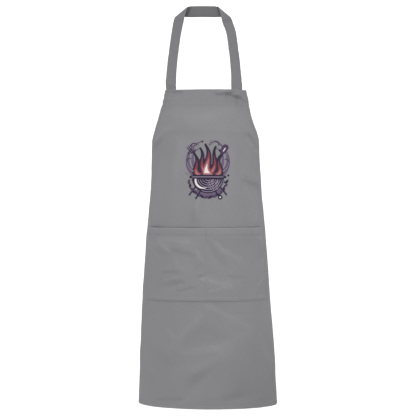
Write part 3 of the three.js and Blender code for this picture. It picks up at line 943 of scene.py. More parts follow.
def hem_layer(name, across, drop, raw_edge, node):
    """Turned layer behind the panel, its folded raw edge a little thicker."""
    outer = panel_front(across, drop) - CLOTH - GAP
    inner = outer - CLOTH - 0.5 * MM * (1 - smoothstep(raw_edge, 4 * MM, 6 * MM))
    front, back = rounded(outer, inner, closing_ring(across.shape), 1)
    wear_and_highlight = groove(raw_edge, 1, RUBBED_FOLD)
    return attach(lay_grid(name, across, drop, front, back, HEM_CLOTH, wear_and_highlight), "apron_cloth", node)


def top_hem():
    last_rows = BIB_HEM - np.array([6, 4.5, 3, 1.5, 0.4, 0]) * MM
    rows = np.concatenate([spaced(TUCK, BIB_HEM - 7 * MM, 4 * MM), last_rows])
    across, drop = plain_grid(rows, panel_edge(rows) - TUCK * edge_slant(rows), 60)
    return hem_layer("bib_hem_turning", across, drop, BIB_HEM - drop, "bib_top_hem")


def bottom_hem():
    rows = BODY_LENGTH - np.array([12, 11.6, 10.5, 9, 7.5, 6, 4, 2.4, 1.3]) * MM
    across, drop = plain_grid(rows, panel_edge(rows) - TUCK * edge_slant(rows), 150)
    return hem_layer("skirt_hem_turning", across, drop, drop - (BODY_LENGTH - BOTTOM_HEM), "bottom_hem")


def edge_hem(name, start, end, side, node):
    """Narrow turned hem along one edge, between two heights."""
    rows = spaced(start, end, 5 * MM)
    offsets = np.array([1.3, 2.4, 4, 6, 7.5, 8.5, 9.6, 10])[::-side] * MM
    across = side * (panel_edge(rows)[:, None] - offsets * edge_slant(rows)[:, None])
    drop = np.broadcast_to(rows[:, None], across.shape)
    return hem_layer(name, across, drop, SIDE_HEM - np.broadcast_to(offsets, across.shape), node)


# Stitches

STITCH_LENGTH = 3.1 * MM
STITCH_PITCH = 3.9 * MM
STITCH_SIDES = 6
THREAD_RADIUS = 0.3 * MM
THREAD_LIFT = 0.35

# Rings of one stitch: share of its length, share of the thread's radius, depth in thread widths
Ring = namedtuple("Ring", "share swell sink")
STITCH_RINGS = [
    Ring(0.0, 0.35, 0.7),
    Ring(0.12, 0.9, 0.1),
    Ring(0.5, 1.0, 0.0),
    Ring(0.88, 0.9, 0.1),
    Ring(1.0, 0.35, 0.7),
]


def stitch_faces():
    """Faces of one stitch: walls between its rings and a face at each end."""
    last = (len(STITCH_RINGS) - 1) * STITCH_SIDES
    faces = []
    for ring in range(0, last, STITCH_SIDES):
        for corner in range(STITCH_SIDES):
            here = ring + corner
            beside = ring + (corner + 1) % STITCH_SIDES
            faces.append((here, beside, beside + STITCH_SIDES, here + STITCH_SIDES))
    faces.append(tuple(reversed(range(STITCH_SIDES))))
    faces.append(tuple(range(last, last + STITCH_SIDES)))
    return faces


def stitch_points(points, normals, run, at):
    """Rings of one stitch at its places along a run."""
    turns = np.linspace(0, 2 * np.pi, STITCH_SIDES, endpoint=False)
    swell = np.array([ring.swell for ring in STITCH_RINGS]) * THREAD_RADIUS
    sink = np.array([ring.sink for ring in STITCH_RINGS]) * THREAD_RADIUS * 2
    middle = np.stack([np.interp(at, run, points[:, axis]) for axis in range(3)], axis=-1)
    normal = unit(np.stack([np.interp(at, run, normals[:, axis]) for axis in range(3)], axis=-1))
    middle = middle + normal * (THREAD_RADIUS * THREAD_LIFT - sink)[:, None]
    way = unit(np.broadcast_to(middle[-1] - middle[0], middle.shape))
    beside = unit(np.cross(way, normal))
    ring = beside[:, None] * np.cos(turns)[:, None] + normal[:, None] * np.sin(turns)[:, None]
    return (middle[:, None] + ring * swell[:, None, None]).reshape(-1, 3)


def stitch_mesh(name, runs, material):
    """Rows of stitches in one mesh. Each run is a list of points and of directions out of the cloth."""
    shares = np.array([ring.share for ring in STITCH_RINGS])
    one_stitch = stitch_faces()
    vertices = []
    faces = []
    for points, normals in runs:
        run = run_along(points)
        count = max(1, int(run[-1] // STITCH_PITCH))
        for number in range(count):
            base = len(vertices) * STITCH_SIDES * len(STITCH_RINGS)
            at = (number + 0.5) * run[-1] / count + (shares - 0.5) * STITCH_LENGTH
            vertices.append(stitch_points(points, normals, run, at))
            faces.extend(tuple(base + corner for corner in face) for face in one_stitch)
    return make_object(name, np.concatenate(vertices), faces, material)


def seam_run(across, drop, above, outward=1):
    """Points and normals along a line on the cloth, from lists of its corners."""
    run = run_along(np.stack([across, drop], axis=-1))
    at = spaced(0, run[-1], 2 * MM)
    across = np.interp(at, run, across)
    drop = np.interp(at, run, drop)
    return cloth_points(across, drop, above(across, drop)), form_normals(across, drop) * outward


def panel_back(across, drop):
    return panel_front(across, drop) - TURNED_HEM


def both_faces(across, drop):
    """A seam's runs on the panel's front and back."""
    return [seam_run(across, drop, panel_front), seam_run(across, drop, panel_back, -1)]


def panel_stitches():
    runs = []
    drops = spaced(4 * MM, BODY_LENGTH - 4 * MM, 4 * MM)
    for side in (-1, 1):
        runs += both_faces(side * (panel_edge(drops) - SIDE_STITCH * edge_slant(drops)), drops)
    for widest, drop in ((BIB_STITCH, BIB_STITCH), (BODY_LENGTH, BODY_LENGTH - BOTTOM_STITCH)):
        half = float(panel_edge(np.array(widest))) - EDGE_GAP
        across = spaced(-half, half, 4 * MM)
        runs += both_faces(across, np.full(len(across), drop))
    return attach(stitch_mesh("hem_stitches", runs, GREY_THREAD), "apron_cloth")


# Print on the bib: a generic fire bowl with crossed tools, in millimetres from its middle, y downwards.
# The rim of each colour is moved onto its outline, by RIM_REACH at most.
PRINT_ACROSS = 5.5 * MM
PRINT_DROP = 219 * MM
PRINT_HALF_WIDTH = 62
PRINT_HALF_HEIGHT = 82
PRINT_STEP = 0.9
RIM_REACH = 0.45 * PRINT_STEP
RIM_PROBE = 0.05
PRINT_LIFT = 0.2 * MM
INK_STEP = 0.04 * MM
INK_THICKNESS = 0.06 * MM
BRUSH_STEPS = 12

# Each tongue of flame: four places that its curve follows from the base up, then its radii
Tongue = namedtuple("Tongue", "x0 y0 x1 y1 x2 y2 x3 y3 base tip")
TONGUES = [
    Tongue(0, 16, -16, -8, 18, -30, -6, -68, 19, 0.8),
    Tongue(-22, 18, -48, 2, -14, -16, -38, -46, 12, 0.6),
    Tongue(23, 18, 50, 0, 12, -16, 40, -40, 12, 0.6),
    Tongue(-10, 6, -26, -22, -4, -34, -20, -58, 9, 0.6),
    Tongue(12, 4, 30, -20, 8, -38, 22, -62, 9, 0.6),
]
CURLS = [
    Tongue(-40, 4, -62, -8, -60, -34, -47, -30, 2.4, 1),
    Tongue(42, 4, 62, -6, 60, -32, 48, -28, 2.4, 1),
    Tongue(-34, -54, -52, -60, -44, -76, -30, -70, 2, 0.8),
    Tongue(6, -68, 18, -82, 34, -76, 30, -66, 2, 0.8),
]
SMOKE = [
    Tongue(-36, 14, -70, -14, -56, -62, -16, -76, 8, 1.5),
    Tongue(36, 14, 70, -10, 58, -60, 20, -78, 8, 1.5),
    Tongue(-30, 2, -48, -22, -44, -48, -22, -58, 6, 1.2),
    Tongue(30, 2, 48, -20, 44, -46, 24, -58, 6, 1.2),
]

# Small round sparks: place and radius
Spark = namedtuple("Spark", "x y radius")
SPARKS = [
    Spark(-27, -66, 2), Spark(-52, -44, 1.8), Spark(10, -76, 1.8), Spark(33, -52, 2.2), Spark(52, -42, 1.8),
    Spark(-14, -76, 1.6), Spark(-44, 24, 1.6), Spark(56, 16, 2), Spark(-56, 12, 2), Spark(46, 34, 1.6),
]


def disc(x, y, centre_x, centre_y, radius):
    """How far inside a disc each place lies. Shapes below are positive inside too."""
    return radius - np.hypot(x - centre_x, y - centre_y)


def bar(x, y, ax, ay, bx, by, start_radius, end_radius):
    """Straight stroke with round ends and a changing radius."""
    way_x = bx - ax
    way_y = by - ay
    share = np.clip(((x - ax) * way_x + (y - ay) * way_y) / (way_x ** 2 + way_y ** 2), 0, 1)
    radius = start_radius + (end_radius - start_radius) * share
    return radius - np.hypot(x - ax - way_x * share, y - ay - way_y * share)


def brush(x, y, row, thinner=0.0, length=1.0):
    """Curved tapering stroke."""
    share = np.linspace(0, length, BRUSH_STEPS + 1)
    rest = 1 - share
    weights = np.array([rest ** 3, 3 * rest ** 2 * share, 3 * rest * share ** 2, share ** 3])
    path_x = np.array([row.x0, row.x1, row.x2, row.x3]) @ weights
    path_y = np.array([row.y0, row.y1, row.y2, row.y3]) @ weights
    radii = np.maximum(row.base + (row.tip - row.base) * share ** 0.8 - thinner, 0.2)
    stops = list(zip(path_x, path_y, radii))
    return union(*[
        bar(x, y, *start[:2], *end[:2], start[2], end[2]) for start, end in zip(stops, stops[1:])
    ])


def union(*shapes):
    result = shapes[0]
    for shape in shapes[1:]:
        result = np.maximum(result, shape)
    return result


def flames(x, y, thinner, length):
    return union(*[brush(x, y, row, thinner, length) for row in TONGUES])


def bowl(x, y):
    round_part = np.minimum(disc(x, y, 0, 20, 44), y - 20)
    return union(round_part, bar(x, y, -47, 20, 47, 20, 3.6, 3.6))


def leaf(x, y, centre_x, centre_y, turn, half_length):
    """Pointed leaf between two round arcs."""
    radius = half_length * 1.35
    aside = (radius ** 2 - half_length ** 2) ** 0.5
    off_x = aside * np.cos(turn)
    off_y = aside * np.sin(turn)
    left = disc(x, y, centre_x - off_x, centre_y - off_y, radius)
    right = disc(x, y, centre_x + off_x, centre_y + off_y, radius)
    return np.minimum(left, right)


def garland(x, y, first):
    """Every second leaf along an arc under the bowl."""
    leaves = []
    for number in range(first, 14, 2):
        angle = np.radians(12 + 12 * number)
        turn = angle + 0.45 * (-1) ** (number // 2)
        leaves.append(leaf(x, y, 53 * np.cos(angle), 22 + 53 * np.sin(angle), turn, 7.5))
    return union(*leaves)


def tools(x, y, thinner):
    """Crossed spatula and fork, behind the fire."""
    strokes = [
        (-50, 68, 38, -44, 2.6, 2.2),
        (50, 68, -38, -44, 2.6, 2.2),
        (41, -49, 49, -60, 7.5, 8.5),
        (-44, -45, -36, -51, 2.2, 2.2),
    ]
    for aside in (-5, 0, 5):
        start_x = -40 + aside * 0.8
        start_y = -48 - aside * 0.6
        strokes.append((start_x, start_y, start_x - 12, start_y - 15, 1.7, 1.3))
    return union(*[
        bar(x, y, ax, ay, bx, by, start - thinner, end - thinner) for ax, ay, bx, by, start, end in strokes
    ])


def mauve_shape(x, y):
    """Smoke on both sides of the fire, and a band of ground under the bowl."""
    ground = np.minimum(disc(x, y, 0, 20, 58), y - 52 - 3 * np.sin(x / 7))
    return union(ground, *[brush(x, y, row) for row in SMOKE])


def navy_shape(x, y):
    left_leg = bar(x, y, -20, 58, -32, 79, 2.2, 1.8)
    right_leg = union(bar(x, y, 20, 58, 32, 76, 2.2, 1.8), disc(x, y, 33, 75, 6))
    sparks = union(*[disc(x, y, row.x, row.y, row.radius + 0.9) for row in SPARKS])
    tool_lines = np.minimum(tools(x, y, 0), -tools(x, y, 1.1))
    fire = union(flames(x, y, -1.9, 1.0), bowl(x, y), left_leg, right_leg)
    return union(fire, garland(x, y, 0), sparks, tool_lines)


def purple_shape(x, y):
    curls = union(*[brush(x, y, row, -0.5) for row in CURLS])
    return union(tools(x, y, 0.6), garland(x, y, 1), curls, np.minimum(flames(x, y, 1.5, 1.0), y + 6))


def red_shape(x, y):
    return np.minimum(flames(x, y, 2.6, 0.94), 12 - y)


def pink_shape(x, y):
    return np.minimum(flames(x, y, 6.2, 0.8), 14 - y)


def lilac_shape(x, y):
    """Light lines and hatching on the bowl, along its rim and in the middles of the curls."""
    from_middle = np.hypot(x, y - 20)
    rings = 0.8 - np.abs((from_middle - 1) % 6 - 3)
    right_part = np.minimum(y - 27, 14 + 0.4 * x - (y - 20) * 0.2)
    lines = np.minimum(np.minimum(rings, disc(x, y, 0, 20, 41)), right_part)
    hatch = np.minimum(0.7 - np.abs((x + 0.6 * y) % 5 - 2.5), np.minimum(disc(x, y, 16, 40, 17), y - 26))
    curls = union(*[brush(x, y, row, 1.0) for row in CURLS])
    return union(lines, hatch, curls, bar(x, y, -42, 20, 42, 20, 1.0, 1.0))


def white_shape(x, y):
    core = np.minimum(flames(x, y, 9.5, 0.62), 10 - y)
    sparks = union(*[disc(x, y, row.x, row.y, row.radius - 0.6) for row in SPARKS[::2]])
    gleam = np.minimum(np.minimum(disc(x, y, -14, 30, 22), -disc(x, y, -9, 27, 22)), y - 25)
    return union(core, sparks, gleam, disc(x, y, 33, 75, 2.4), bar(x, y, 43, -50, 48, -58, 1.3, 1.3))


def whole_cells(value):
    """Cells of the print's grid inside a shape, with those that only meet at a corner filled up."""
    cells = (value[:-1, :-1] + value[1:, :-1] + value[1:, 1:] + value[:-1, 1:]) > 0
    cells[0, :] = cells[-1, :] = False
    cells[:, 0] = cells[:, -1] = False
    falling = cells[:-1, :-1] & cells[1:, 1:] & ~cells[1:, :-1] & ~cells[:-1, 1:]
    rising = cells[1:, :-1] & cells[:-1, 1:] & ~cells[:-1, :-1] & ~cells[1:, 1:]
    cells[1:, :-1] |= falling
    cells[:-1, :-1] |= rising
    return cells


def drawn_to_outline(shape, x, y, cells):
    """Moves the corners on the rim of the cells onto the shape's outline."""
    touching = np.zeros(x.shape, dtype=int)
    for rows in (slice(None, -1), slice(1, None)):
        for columns in (slice(None, -1), slice(1, None)):
            touching[rows, columns] += cells
    rim = (touching > 0) & (touching < 4)
    for _ in range(2):
        rim_x = x[rim]
        rim_y = y[rim]
        here = shape(rim_x, rim_y)
        slope_x = (shape(rim_x + RIM_PROBE, rim_y) - here) / RIM_PROBE
        slope_y = (shape(rim_x, rim_y + RIM_PROBE) - here) / RIM_PROBE
        steep = np.maximum(slope_x ** 2 + slope_y ** 2, 0.3)
        x[rim] = rim_x - np.clip(here * slope_x / steep, -RIM_REACH, RIM_REACH)
        y[rim] = rim_y - np.clip(here * slope_y / steep, -RIM_REACH, RIM_REACH)


def two_faced(upper, count):
    """Faces of a thin layer: upper ones, the same again below and walls along the border."""
    edges = np.stack([upper, np.roll(upper, -1, axis=1)], axis=-1).reshape(-1, 2)
    forward = edges[:, 0] * count + edges[:, 1]
    backward = edges[:, 1] * count + edges[:, 0]
    border = edges[~np.isin(forward, backward)]
    walls = np.stack([border[:, 1], border[:, 0], border[:, 0] + count, border[:, 1] + count], axis=-1)
    return np.concatenate([upper, upper[:, ::-1] + count, walls])


def ink_piece(name, shape, material, level):
    """One thin printed layer: whole cells inside the shape, with its rim drawn onto the outline."""
    xs = np.arange(-PRINT_HALF_WIDTH, PRINT_HALF_WIDTH + PRINT_STEP, PRINT_STEP)
    ys = np.arange(-PRINT_HALF_HEIGHT, PRINT_HALF_HEIGHT + PRINT_STEP, PRINT_STEP)
    y, x = np.meshgrid(ys, xs, indexing="ij")
    cells = whole_cells(shape(x, y))
    drawn_to_outline(shape, x, y, cells)
    faces = two_faced(quads(np.arange(x.size).reshape(x.shape))[cells.ravel()], x.size)
    across = (PRINT_ACROSS + x * MM).ravel()
    drop = (PRINT_DROP + y * MM).ravel()
    below = panel_front(across, drop) + PRINT_LIFT + level * INK_STEP
    vertices = np.concatenate([
        cloth_points(across, drop, below + INK_THICKNESS), cloth_points(across, drop, below),
    ])
    flat = np.tile(np.stack([across, drop], axis=-1), (2, 1))
    used, numbers = np.unique(faces, return_inverse=True)
    piece = make_object(name, vertices[used], numbers.reshape(faces.shape), material, flat[used])
    return attach(piece, "apron_cloth")


def bib_print():
    inks = [
        ("print_mauve", mauve_shape, (0.150, 0.110, 0.178)),
        ("print_purple", purple_shape, (0.085, 0.055, 0.110)),
        ("print_navy", navy_shape, (0.034, 0.027, 0.054)),
        ("print_red", red_shape, (0.235, 0.056, 0.076)),
        ("print_lilac", lilac_shape, (0.33, 0.27, 0.36)),
        ("print_pink", pink_shape, (0.43, 0.19, 0.19)),
        ("print_white", white_shape, (0.78, 0.72, 0.71)),
    ]
    return [
        ink_piece(name, shape, print_ink(name.replace("_", " ").title(), color), level)
        for level, (name, shape, color) in enumerate(inks)
    ]


# Pocket

ALLOWANCE = 10 * MM
ALLOWANCE_LIFT = 0.9 * MM
POCKET_STITCH = 2.4 * MM
MOUTH_STITCHES = (18 * MM, 22 * MM)
TAB_HALF_WIDTH = 1.4 * MM
GAPE_REACH = 0.12
MOUTH_WEAR = 0.1


def pocket_inner(across, drop):
    """Inner face of the pocket above the panel, a little closer to it than the solids' is."""
    down = np.clip((drop - POCKET_DROP) / POCKET_HEIGHT, 0, 1)
    side = np.clip(np.abs(across) / pocket_edge(drop), 0, 1)
    slack = np.clip(np.sin(np.pi * side), 0, 1) ** 1.3 * (1 - down ** 2)
    share = POCKET_HEM / POCKET_HEIGHT
    lift = (CLOTH + GAP) * (1 - smoothstep(down, share, 2 * share))
    gape = sum(groove(across / MM - row.across, row.height * MM, row.width) for row in MOUTH_GAPES)
    return GAP + lift + POCKET_EASE * slack + gape * groove(down, 1, GAPE_REACH)


def pocket_edges(across, drop):
    """Distances to the pocket's sewn edge and to its mouth."""
    return np.minimum(pocket_edge(drop) - np.abs(across), POCKET_FLOOR - drop), drop - POCKET_DROP


def pocket_relief(across, drop):
    """The pocket's own creases, stitch grooves and puckers, faded out at its seams."""
    seam, mouth = pocket_edges(across, drop)
    free = smoothstep(np.minimum(seam, np.abs(across) * 1.2), 0, 16 * MM)
    relief = sum(streak_height(across, drop, row) for row in POCKET_STREAKS)
    relief = (relief + rumple(across, drop, POCKET_RUMPLE)) * (0.25 + 0.75 * free)
    relief -= groove(seam - POCKET_STITCH, 0.4 * MM, STITCH_GROOVE)
    for line in MOUTH_STITCHES:
        relief -= groove(mouth - line, 0.35 * MM, 0.9 * MM)
    relief -= groove(across, 0.2 * MM, 1.4 * MM) * smoothstep(mouth, 20 * MM, 24 * MM)
    return relief + rumple(across, drop, POCKET_PUCKER) * groove(seam, 1, 9 * MM)


def pocket_back(across, drop):
    return panel_front(across, drop) + pocket_inner(across, drop) + pocket_relief(across, drop)


def pocket_front(across, drop):
    seam = pocket_edges(across, drop)[0]
    turning = ALLOWANCE_LIFT * (1 - smoothstep(seam, ALLOWANCE - 2 * MM, ALLOWANCE + MM))
    return pocket_back(across, drop) + CLOTH + turning


def pocket_panel():
    radius = TURNED_HEM / 2
    rim = rim_offsets(radius)
    offsets = np.concatenate([rim, np.array([1.9, 2.4, 2.9, 3.6, 5, 6.8, 8.6, 10.2, 12]) * MM])
    rows = np.concatenate([
        POCKET_DROP + rim,
        POCKET_DROP + np.array([2.6, 4.4, 7, 10, 13.4]) * MM,
        POCKET_DROP + np.array([16.6, 17.4, 18, 18.6, 19.6, 21.2, 22, 22.8, 24]) * MM,
        spaced(POCKET_DROP + 27 * MM, POCKET_FLOOR - 14 * MM, 2.6 * MM),
        POCKET_FLOOR - offsets[::-1],
    ])
    half_shares = np.unique(np.concatenate([[0, 0.006, 0.012, 0.02], spaced(0.03, 1, 0.0145)]))
    shares = np.concatenate([-half_shares[:0:-1], half_shares])
    across, drop = edged_grid(rows, pocket_edge(rows), offsets[None, :], shares)
    seam, mouth = pocket_edges(across, drop)
    distance = np.maximum(np.minimum(seam, mouth), 0)
    back = pocket_back(across, drop) - (CLOTH + GAP) * (1 - smoothstep(mouth, TURN_START, TURN_END))
    front, back = rounded(pocket_front(across, drop), back, distance, radius)
    wear_and_highlight = groove(distance, 1, 1.8 * MM) + groove(mouth, MOUTH_WEAR, 4 * MM)
    # Painted highlight along the pocket's streaks that face the light
    wear_and_highlight += painted_highlight_bands(across, drop, POCKET_STREAKS)
    piece = lay_grid("front_pocket", across, drop, front, back, POCKET_CLOTH, wear_and_highlight)
    return attach(piece, "apron_cloth", "pocket")


def pocket_hem():
    rows = POCKET_DROP + np.array([1.3, 3, 6, 10, 14, 17, 19, 21, 22.4, 23]) * MM
    across, drop = plain_grid(rows, pocket_edge(rows) - TUCK, 90)
    outer = pocket_back(across, drop) - GAP
    front, back = rounded(outer, outer - CLOTH, closing_ring(across.shape), 1)
    piece = lay_grid("pocket_mouth_turning", across, drop, front, back, HEM_CLOTH, np.zeros(across.shape))
    return attach(piece, "apron_cloth", "pocket_top_hem")


def pocket_stitches():
    low = POCKET_FLOOR - POCKET_STITCH
    half = POCKET_BOTTOM_HALF_WIDTH - POCKET_STITCH
    reach = POCKET_TOP_HALF_WIDTH - EDGE_GAP
    tab_end = POCKET_DROP + MOUTH_STITCHES[1]
    drops = spaced(POCKET_DROP + 3 * MM, low, 4 * MM)
    sides = pocket_edge(drops) - POCKET_STITCH
    lines = [(-sides, drops), (sides, drops), ([-half, half], [low, low])]
    for line in MOUTH_STITCHES:
        lines.append(([-reach, reach], [POCKET_DROP + line] * 2))
    for side in (-TAB_HALF_WIDTH, TAB_HALF_WIDTH):
        lines.append(([side, side], [POCKET_DROP + 2 * MM, tab_end]))
    lines.append(([0, 0], [tab_end, low]))
    runs = [seam_run(across, drop, pocket_front) for across, drop in lines]
    return attach(stitch_mesh("pocket_stitches", runs, GREY_THREAD), "apron_cloth")


# Flat strips: neck strap, ties and tails

STRIP_STITCH = 2.3 * MM
STRIP_RIM_ANGLES = np.radians([0, 35, 65, 90])
STITCH_SINK = 0.15 * MM
RIPPLE_SIZE = 14 * MM
CUP_LEVEL = 0.4
LEFT_FLARE = 0.05
RIGHT_FLARE = 0.11
FLARE_HEIGHT = 45 * MM
TIE_DRAWN = 0.45
TIE_DRAW_LENGTH = 55 * MM
TIE_GATHER = 2.4 * MM
TAIL_DRAWN = 0.5
TAIL_DRAW_LENGTH = 60 * MM
TAIL_GATHER = 2.2 * MM
TAIL_SAG = 2.5 * MM


def strip_section(width, thickness):
    """Section of a folded strip, all the way round: places across it and the lift of its faces."""
    round_edge = thickness / 2
    from_edge = np.concatenate([
        round_edge * (1 - np.cos(STRIP_RIM_ANGLES)),
        STRIP_STITCH + np.array([-0.7, 0, 0.7, 2.5]) * MM,
    ])
    places = np.concatenate([width / 2 - from_edge, [width / 6, 0]])
    edge = width / 2 - places
    lift = np.sqrt(np.clip(1 - np.clip(1 - edge / round_edge, 0, 1) ** 2, 0, 1)) * thickness / 2
    lift -= groove(edge - STRIP_STITCH, 0.22 * MM, 0.7 * MM)
    lift += 0.12 * MM * smoothstep(edge, STRIP_STITCH, STRIP_STITCH + 4 * MM)
    whole = np.concatenate([places, -places[-2::-1], -places[1:-1], places[-1:0:-1]])
    return whole, np.concatenate([lift, lift[-2::-1], -lift[1:-1], -lift[-1:0:-1]])


def round_about(points, count):
    """The four points round each of some even places on a curve, and how far along each place is."""
    points = np.asarray(points, float)
    padded = np.concatenate([[2 * points[0] - points[1]], points, [2 * points[-1] - points[-2]]])
    at = np.linspace(0, len(points) - 1, count)
    index = np.minimum(at.astype(int), len(points) - 2)
    return [padded[index + step] for step in range(4)], (at - index)[:, None]


def even_curve(points, count):
    (before, start, end, after), share = round_about(points, count)
    return hermite(share, start, (end - before) / 2, end, (after - start) / 2)


def root_length(way):
    return np.maximum(np.linalg.norm(way, axis=-1, keepdims=True) ** 0.5, 1e-6)


def centripetal_curve(points, count):
    """Curve through unevenly spaced points, as the solids' straps have it."""
    (before, start, end, after), share = round_about(points, count)
    first = root_length(start - before)
    middle = root_length(end - start)
    last = root_length(after - end)
    direct = (end - start) / middle
    leave = ((start - before) / first - (end - before) / (first + middle) + direct) * middle
    reach = (direct - (after - start) / (middle + last) + (after - end) / last) * middle
    return hermite(share, start, leave, end, reach)


def strip_frame(middles, turns, slanted):
    """Directions out of and across a strip at each of its middles."""
    along = unit(np.gradient(middles, axis=0))
    face = unit(np.cross(along, turns))
    if slanted:
        length = np.linalg.norm(turns, axis=-1, keepdims=True)
        return face, turns / np.minimum(length, 1)
    return face, np.cross(face, along)


def strip_faces(rows, count):
    """Walls round a strip and a face at each end."""
    index = np.arange(rows * count).reshape(rows, count)
    beside = np.roll(index, -1, axis=1)
    walls = np.stack([index[:-1], beside[:-1], beside[1:], index[1:]], axis=-1).reshape(-1, 4)
    return [*map(tuple, walls.tolist()), tuple(index[0][::-1].tolist()), tuple(index[-1].tolist())]


def strip(name, middles, turns, width, thickness, material, narrow, ripple, gather=0.0, creases=(),
          inner_shade=None, slanted=False):
    """Folded and edge-stitched strip with rounded edges. Returns the piece and its stitch runs."""
    whole, lifts = strip_section(width, thickness)
    face, out = strip_frame(middles, turns, slanted)
    run = run_along(middles)
    narrow = np.broadcast_to(narrow, run.shape)
    gather = np.broadcast_to(gather, run.shape)

    def bent(places, lengths, cupped):
        cup = cupped * ((places / (width / 2)) ** 2 - CUP_LEVEL)
        return rumple(places, lengths, ripple) + cup + sum(ridge(places, lengths, row) for row in creases)

    offset = lifts + bent(whole[None, :], run[:, None], gather[:, None])
    vertices = (
        middles[:, None] + out[:, None] * (whole * narrow[:, None])[..., None]
        + face[:, None] * offset[..., None]
    )
    flat = np.stack(np.broadcast_arrays(whole[None, :], run[:, None]), axis=-1).reshape(-1, 2)
    wear_and_highlight = np.broadcast_to(groove(width / 2 - np.abs(whole), 1, RUBBED_FOLD), offset.shape)
    # Painted shade on the inner face only, where inner_shade is given
    shade = None if inner_shade is None else np.where(lifts < 0, inner_shade(vertices), 0.0)
    faces = strip_faces(len(run), len(whole))
    piece = make_object(name, vertices.reshape(-1, 3), faces, material, flat, wear_and_highlight, shade)
    runs = []
    for side in (-1, 1):
        place = side * (width / 2 - STRIP_STITCH)
        for outward in (-1, 1):
            height = outward * (thickness / 2 - STITCH_SINK) + bent(np.full(run.shape, place), run, gather)
            points = middles + out * (place * narrow)[:, None] + face * height[:, None]
            runs.append((points[1:-1], (face * outward)[1:-1]))
    return piece, runs


def across_at(x, drop):
    """Width along the cloth at which the smooth form reaches an x."""
    places = np.linspace(0, way_round(drop) / 2, 2000)
    reached = np.abs(form_points(np.sign(x) * places, drop)[:, 0])
    return float(np.sign(x) * np.interp(abs(x), reached, places))


# The right shoulder sits closer to the middle than the left one by NAPE_PULL
NAPE_PULL = 6 * MM
NAPE_LEVEL = -1.2 * MM
NAPE_TURN = (0, 0, -1.07)
# Painted shade on the strap's inner face at the nape, and painted shadow in the slanted folds at its ends:
# their strengths, then the folds' place from the middle, reach and slant
NAPE_SHADE = 0.17
FOLD_SHADE = 0.42
FOLD_PLACE = 45 * MM
FOLD_REACH = 5.5 * MM
FOLD_SLANT = 0.33


def nape_shade(places):
    """Painted shade on the strap's inner face at the nape, darkest as painted shadow along the slanted folds
    at both ends.
    """
    from_middle = np.abs(places[..., 0] + STRAP_SHIFT) + FOLD_SLANT * places[..., 2]
    on_top = smoothstep(places[..., 2], -30 * MM, -20 * MM)
    return on_top * (NAPE_SHADE + FOLD_SHADE * np.exp(-((from_middle - FOLD_PLACE) / FOLD_REACH) ** 4))


def strap_side(side):
    """Middles and turns of one leg, from its sewn end behind the bib up to the nape."""
    middles = []
    turns = []
    depth = -CLOTH - GAP - CLOTH - SEAT_GAP - STRAP_THICKNESS / 2
    for lap in (1, 0.5, 0.05):
        drop = STRAP_LAP * lap
        across = across_at(side * STRAP_HALF_SPACING - STRAP_SHIFT, drop)
        middles.append(cloth_points(across, drop, depth))
        turns.append(form_points(across + side * MM, drop) / MM - form_points(across, drop) / MM)
    for row in STRAP_STATIONS:
        pull = NAPE_PULL * float(smoothstep(row.rise, -0.34, -0.10)) if side > 0 else 0
        x = side * row.side * STRAP_HALF_SPACING - STRAP_SHIFT - pull
        middles.append(np.array([x, STRAP_THICKNESS / 2 - row.reach * FRONT_REACH, row.rise * NECK_DROP]))
        turns.append(np.array([-side * row.x, row.y, row.z]))
    return middles, turns


def strap_creases(length):
    """The strap's creases by their places along its whole length."""
    lap = STRAP_LAP / MM
    creases = []
    for side, row in STRAP_CREASES:
        start = row.drop + lap
        end = row.to_drop + lap
        if side > 0:
            start, end = length - start, length - end
        creases.append(row._replace(drop=start, to_drop=end))
    return creases


def neck_strap():
    left_middles, left_turns = strap_side(-1)
    right_middles, right_turns = strap_side(1)
    nape = np.array([-STRAP_SHIFT, STRAP_THICKNESS / 2, NAPE_LEVEL])
    middles = [*left_middles, nape, *right_middles[::-1]]
    turns = [*left_turns, np.array(NAPE_TURN), *right_turns[::-1]]
    count = (len(middles) - 1) * STRAP_STEPS + 1
    curve = centripetal_curve(middles, count)
    above_bib = curve[:, 2] + NECK_DROP
    flare = np.where(curve[:, 0] < 0, LEFT_FLARE, RIGHT_FLARE) * (1 - smoothstep(above_bib, 0, FLARE_HEIGHT))
    piece, runs = strip(
        "neck_loop_strap", curve, even_curve(turns, count), STRAP_WIDTH, STRAP_THICKNESS, STRAP_CLOTH,
        1 + flare, Rumple(0.35 * MM, RIPPLE_SIZE, 31), creases=strap_creases(run_along(curve)[-1] / MM),
        inner_shade=nape_shade, slanted=True,
    )
    attach(piece, "strap_cloth", "neck_strap")
    attach(stitch_mesh("strap_stitches", runs, GREY_THREAD), "strap_cloth")


# Waist ties, knot and tails: the middle line of the ties, down the body and behind the cloth
TIE_DROP = WAIST_DROP + GAP + TIE_WIDTH / 2
TIE_DEPTH = CLOTH + GAP + CLOTH + SEAT_GAP + TIE_THICKNESS / 2

# Bands of the knot: tilt in radians, half width and half height as shares of the knot's width and
# height, half thickness as a share of its depth. Each swells and waves on its way round and is pleated
# along it.
Band = namedtuple("Band", "tilt wide high thick")
KNOT_BANDS = [Band(0.5, 0.30, 0.40, 0.30), Band(-0.55, 0.27, 0.36, 0.26), Band(0.05, 0.36, 0.30, 0.24)]
BAND_STEPS = 72
BAND_SIDES = 20
BAND_HALF_WIDTH = 0.15 * KNOT_WIDTH
BAND_WAVE = 0.16 * KNOT_DEPTH
BAND_SWELL = 0.12
BAND_PLEAT = 0.10
KNOT_WEAR = 0.1


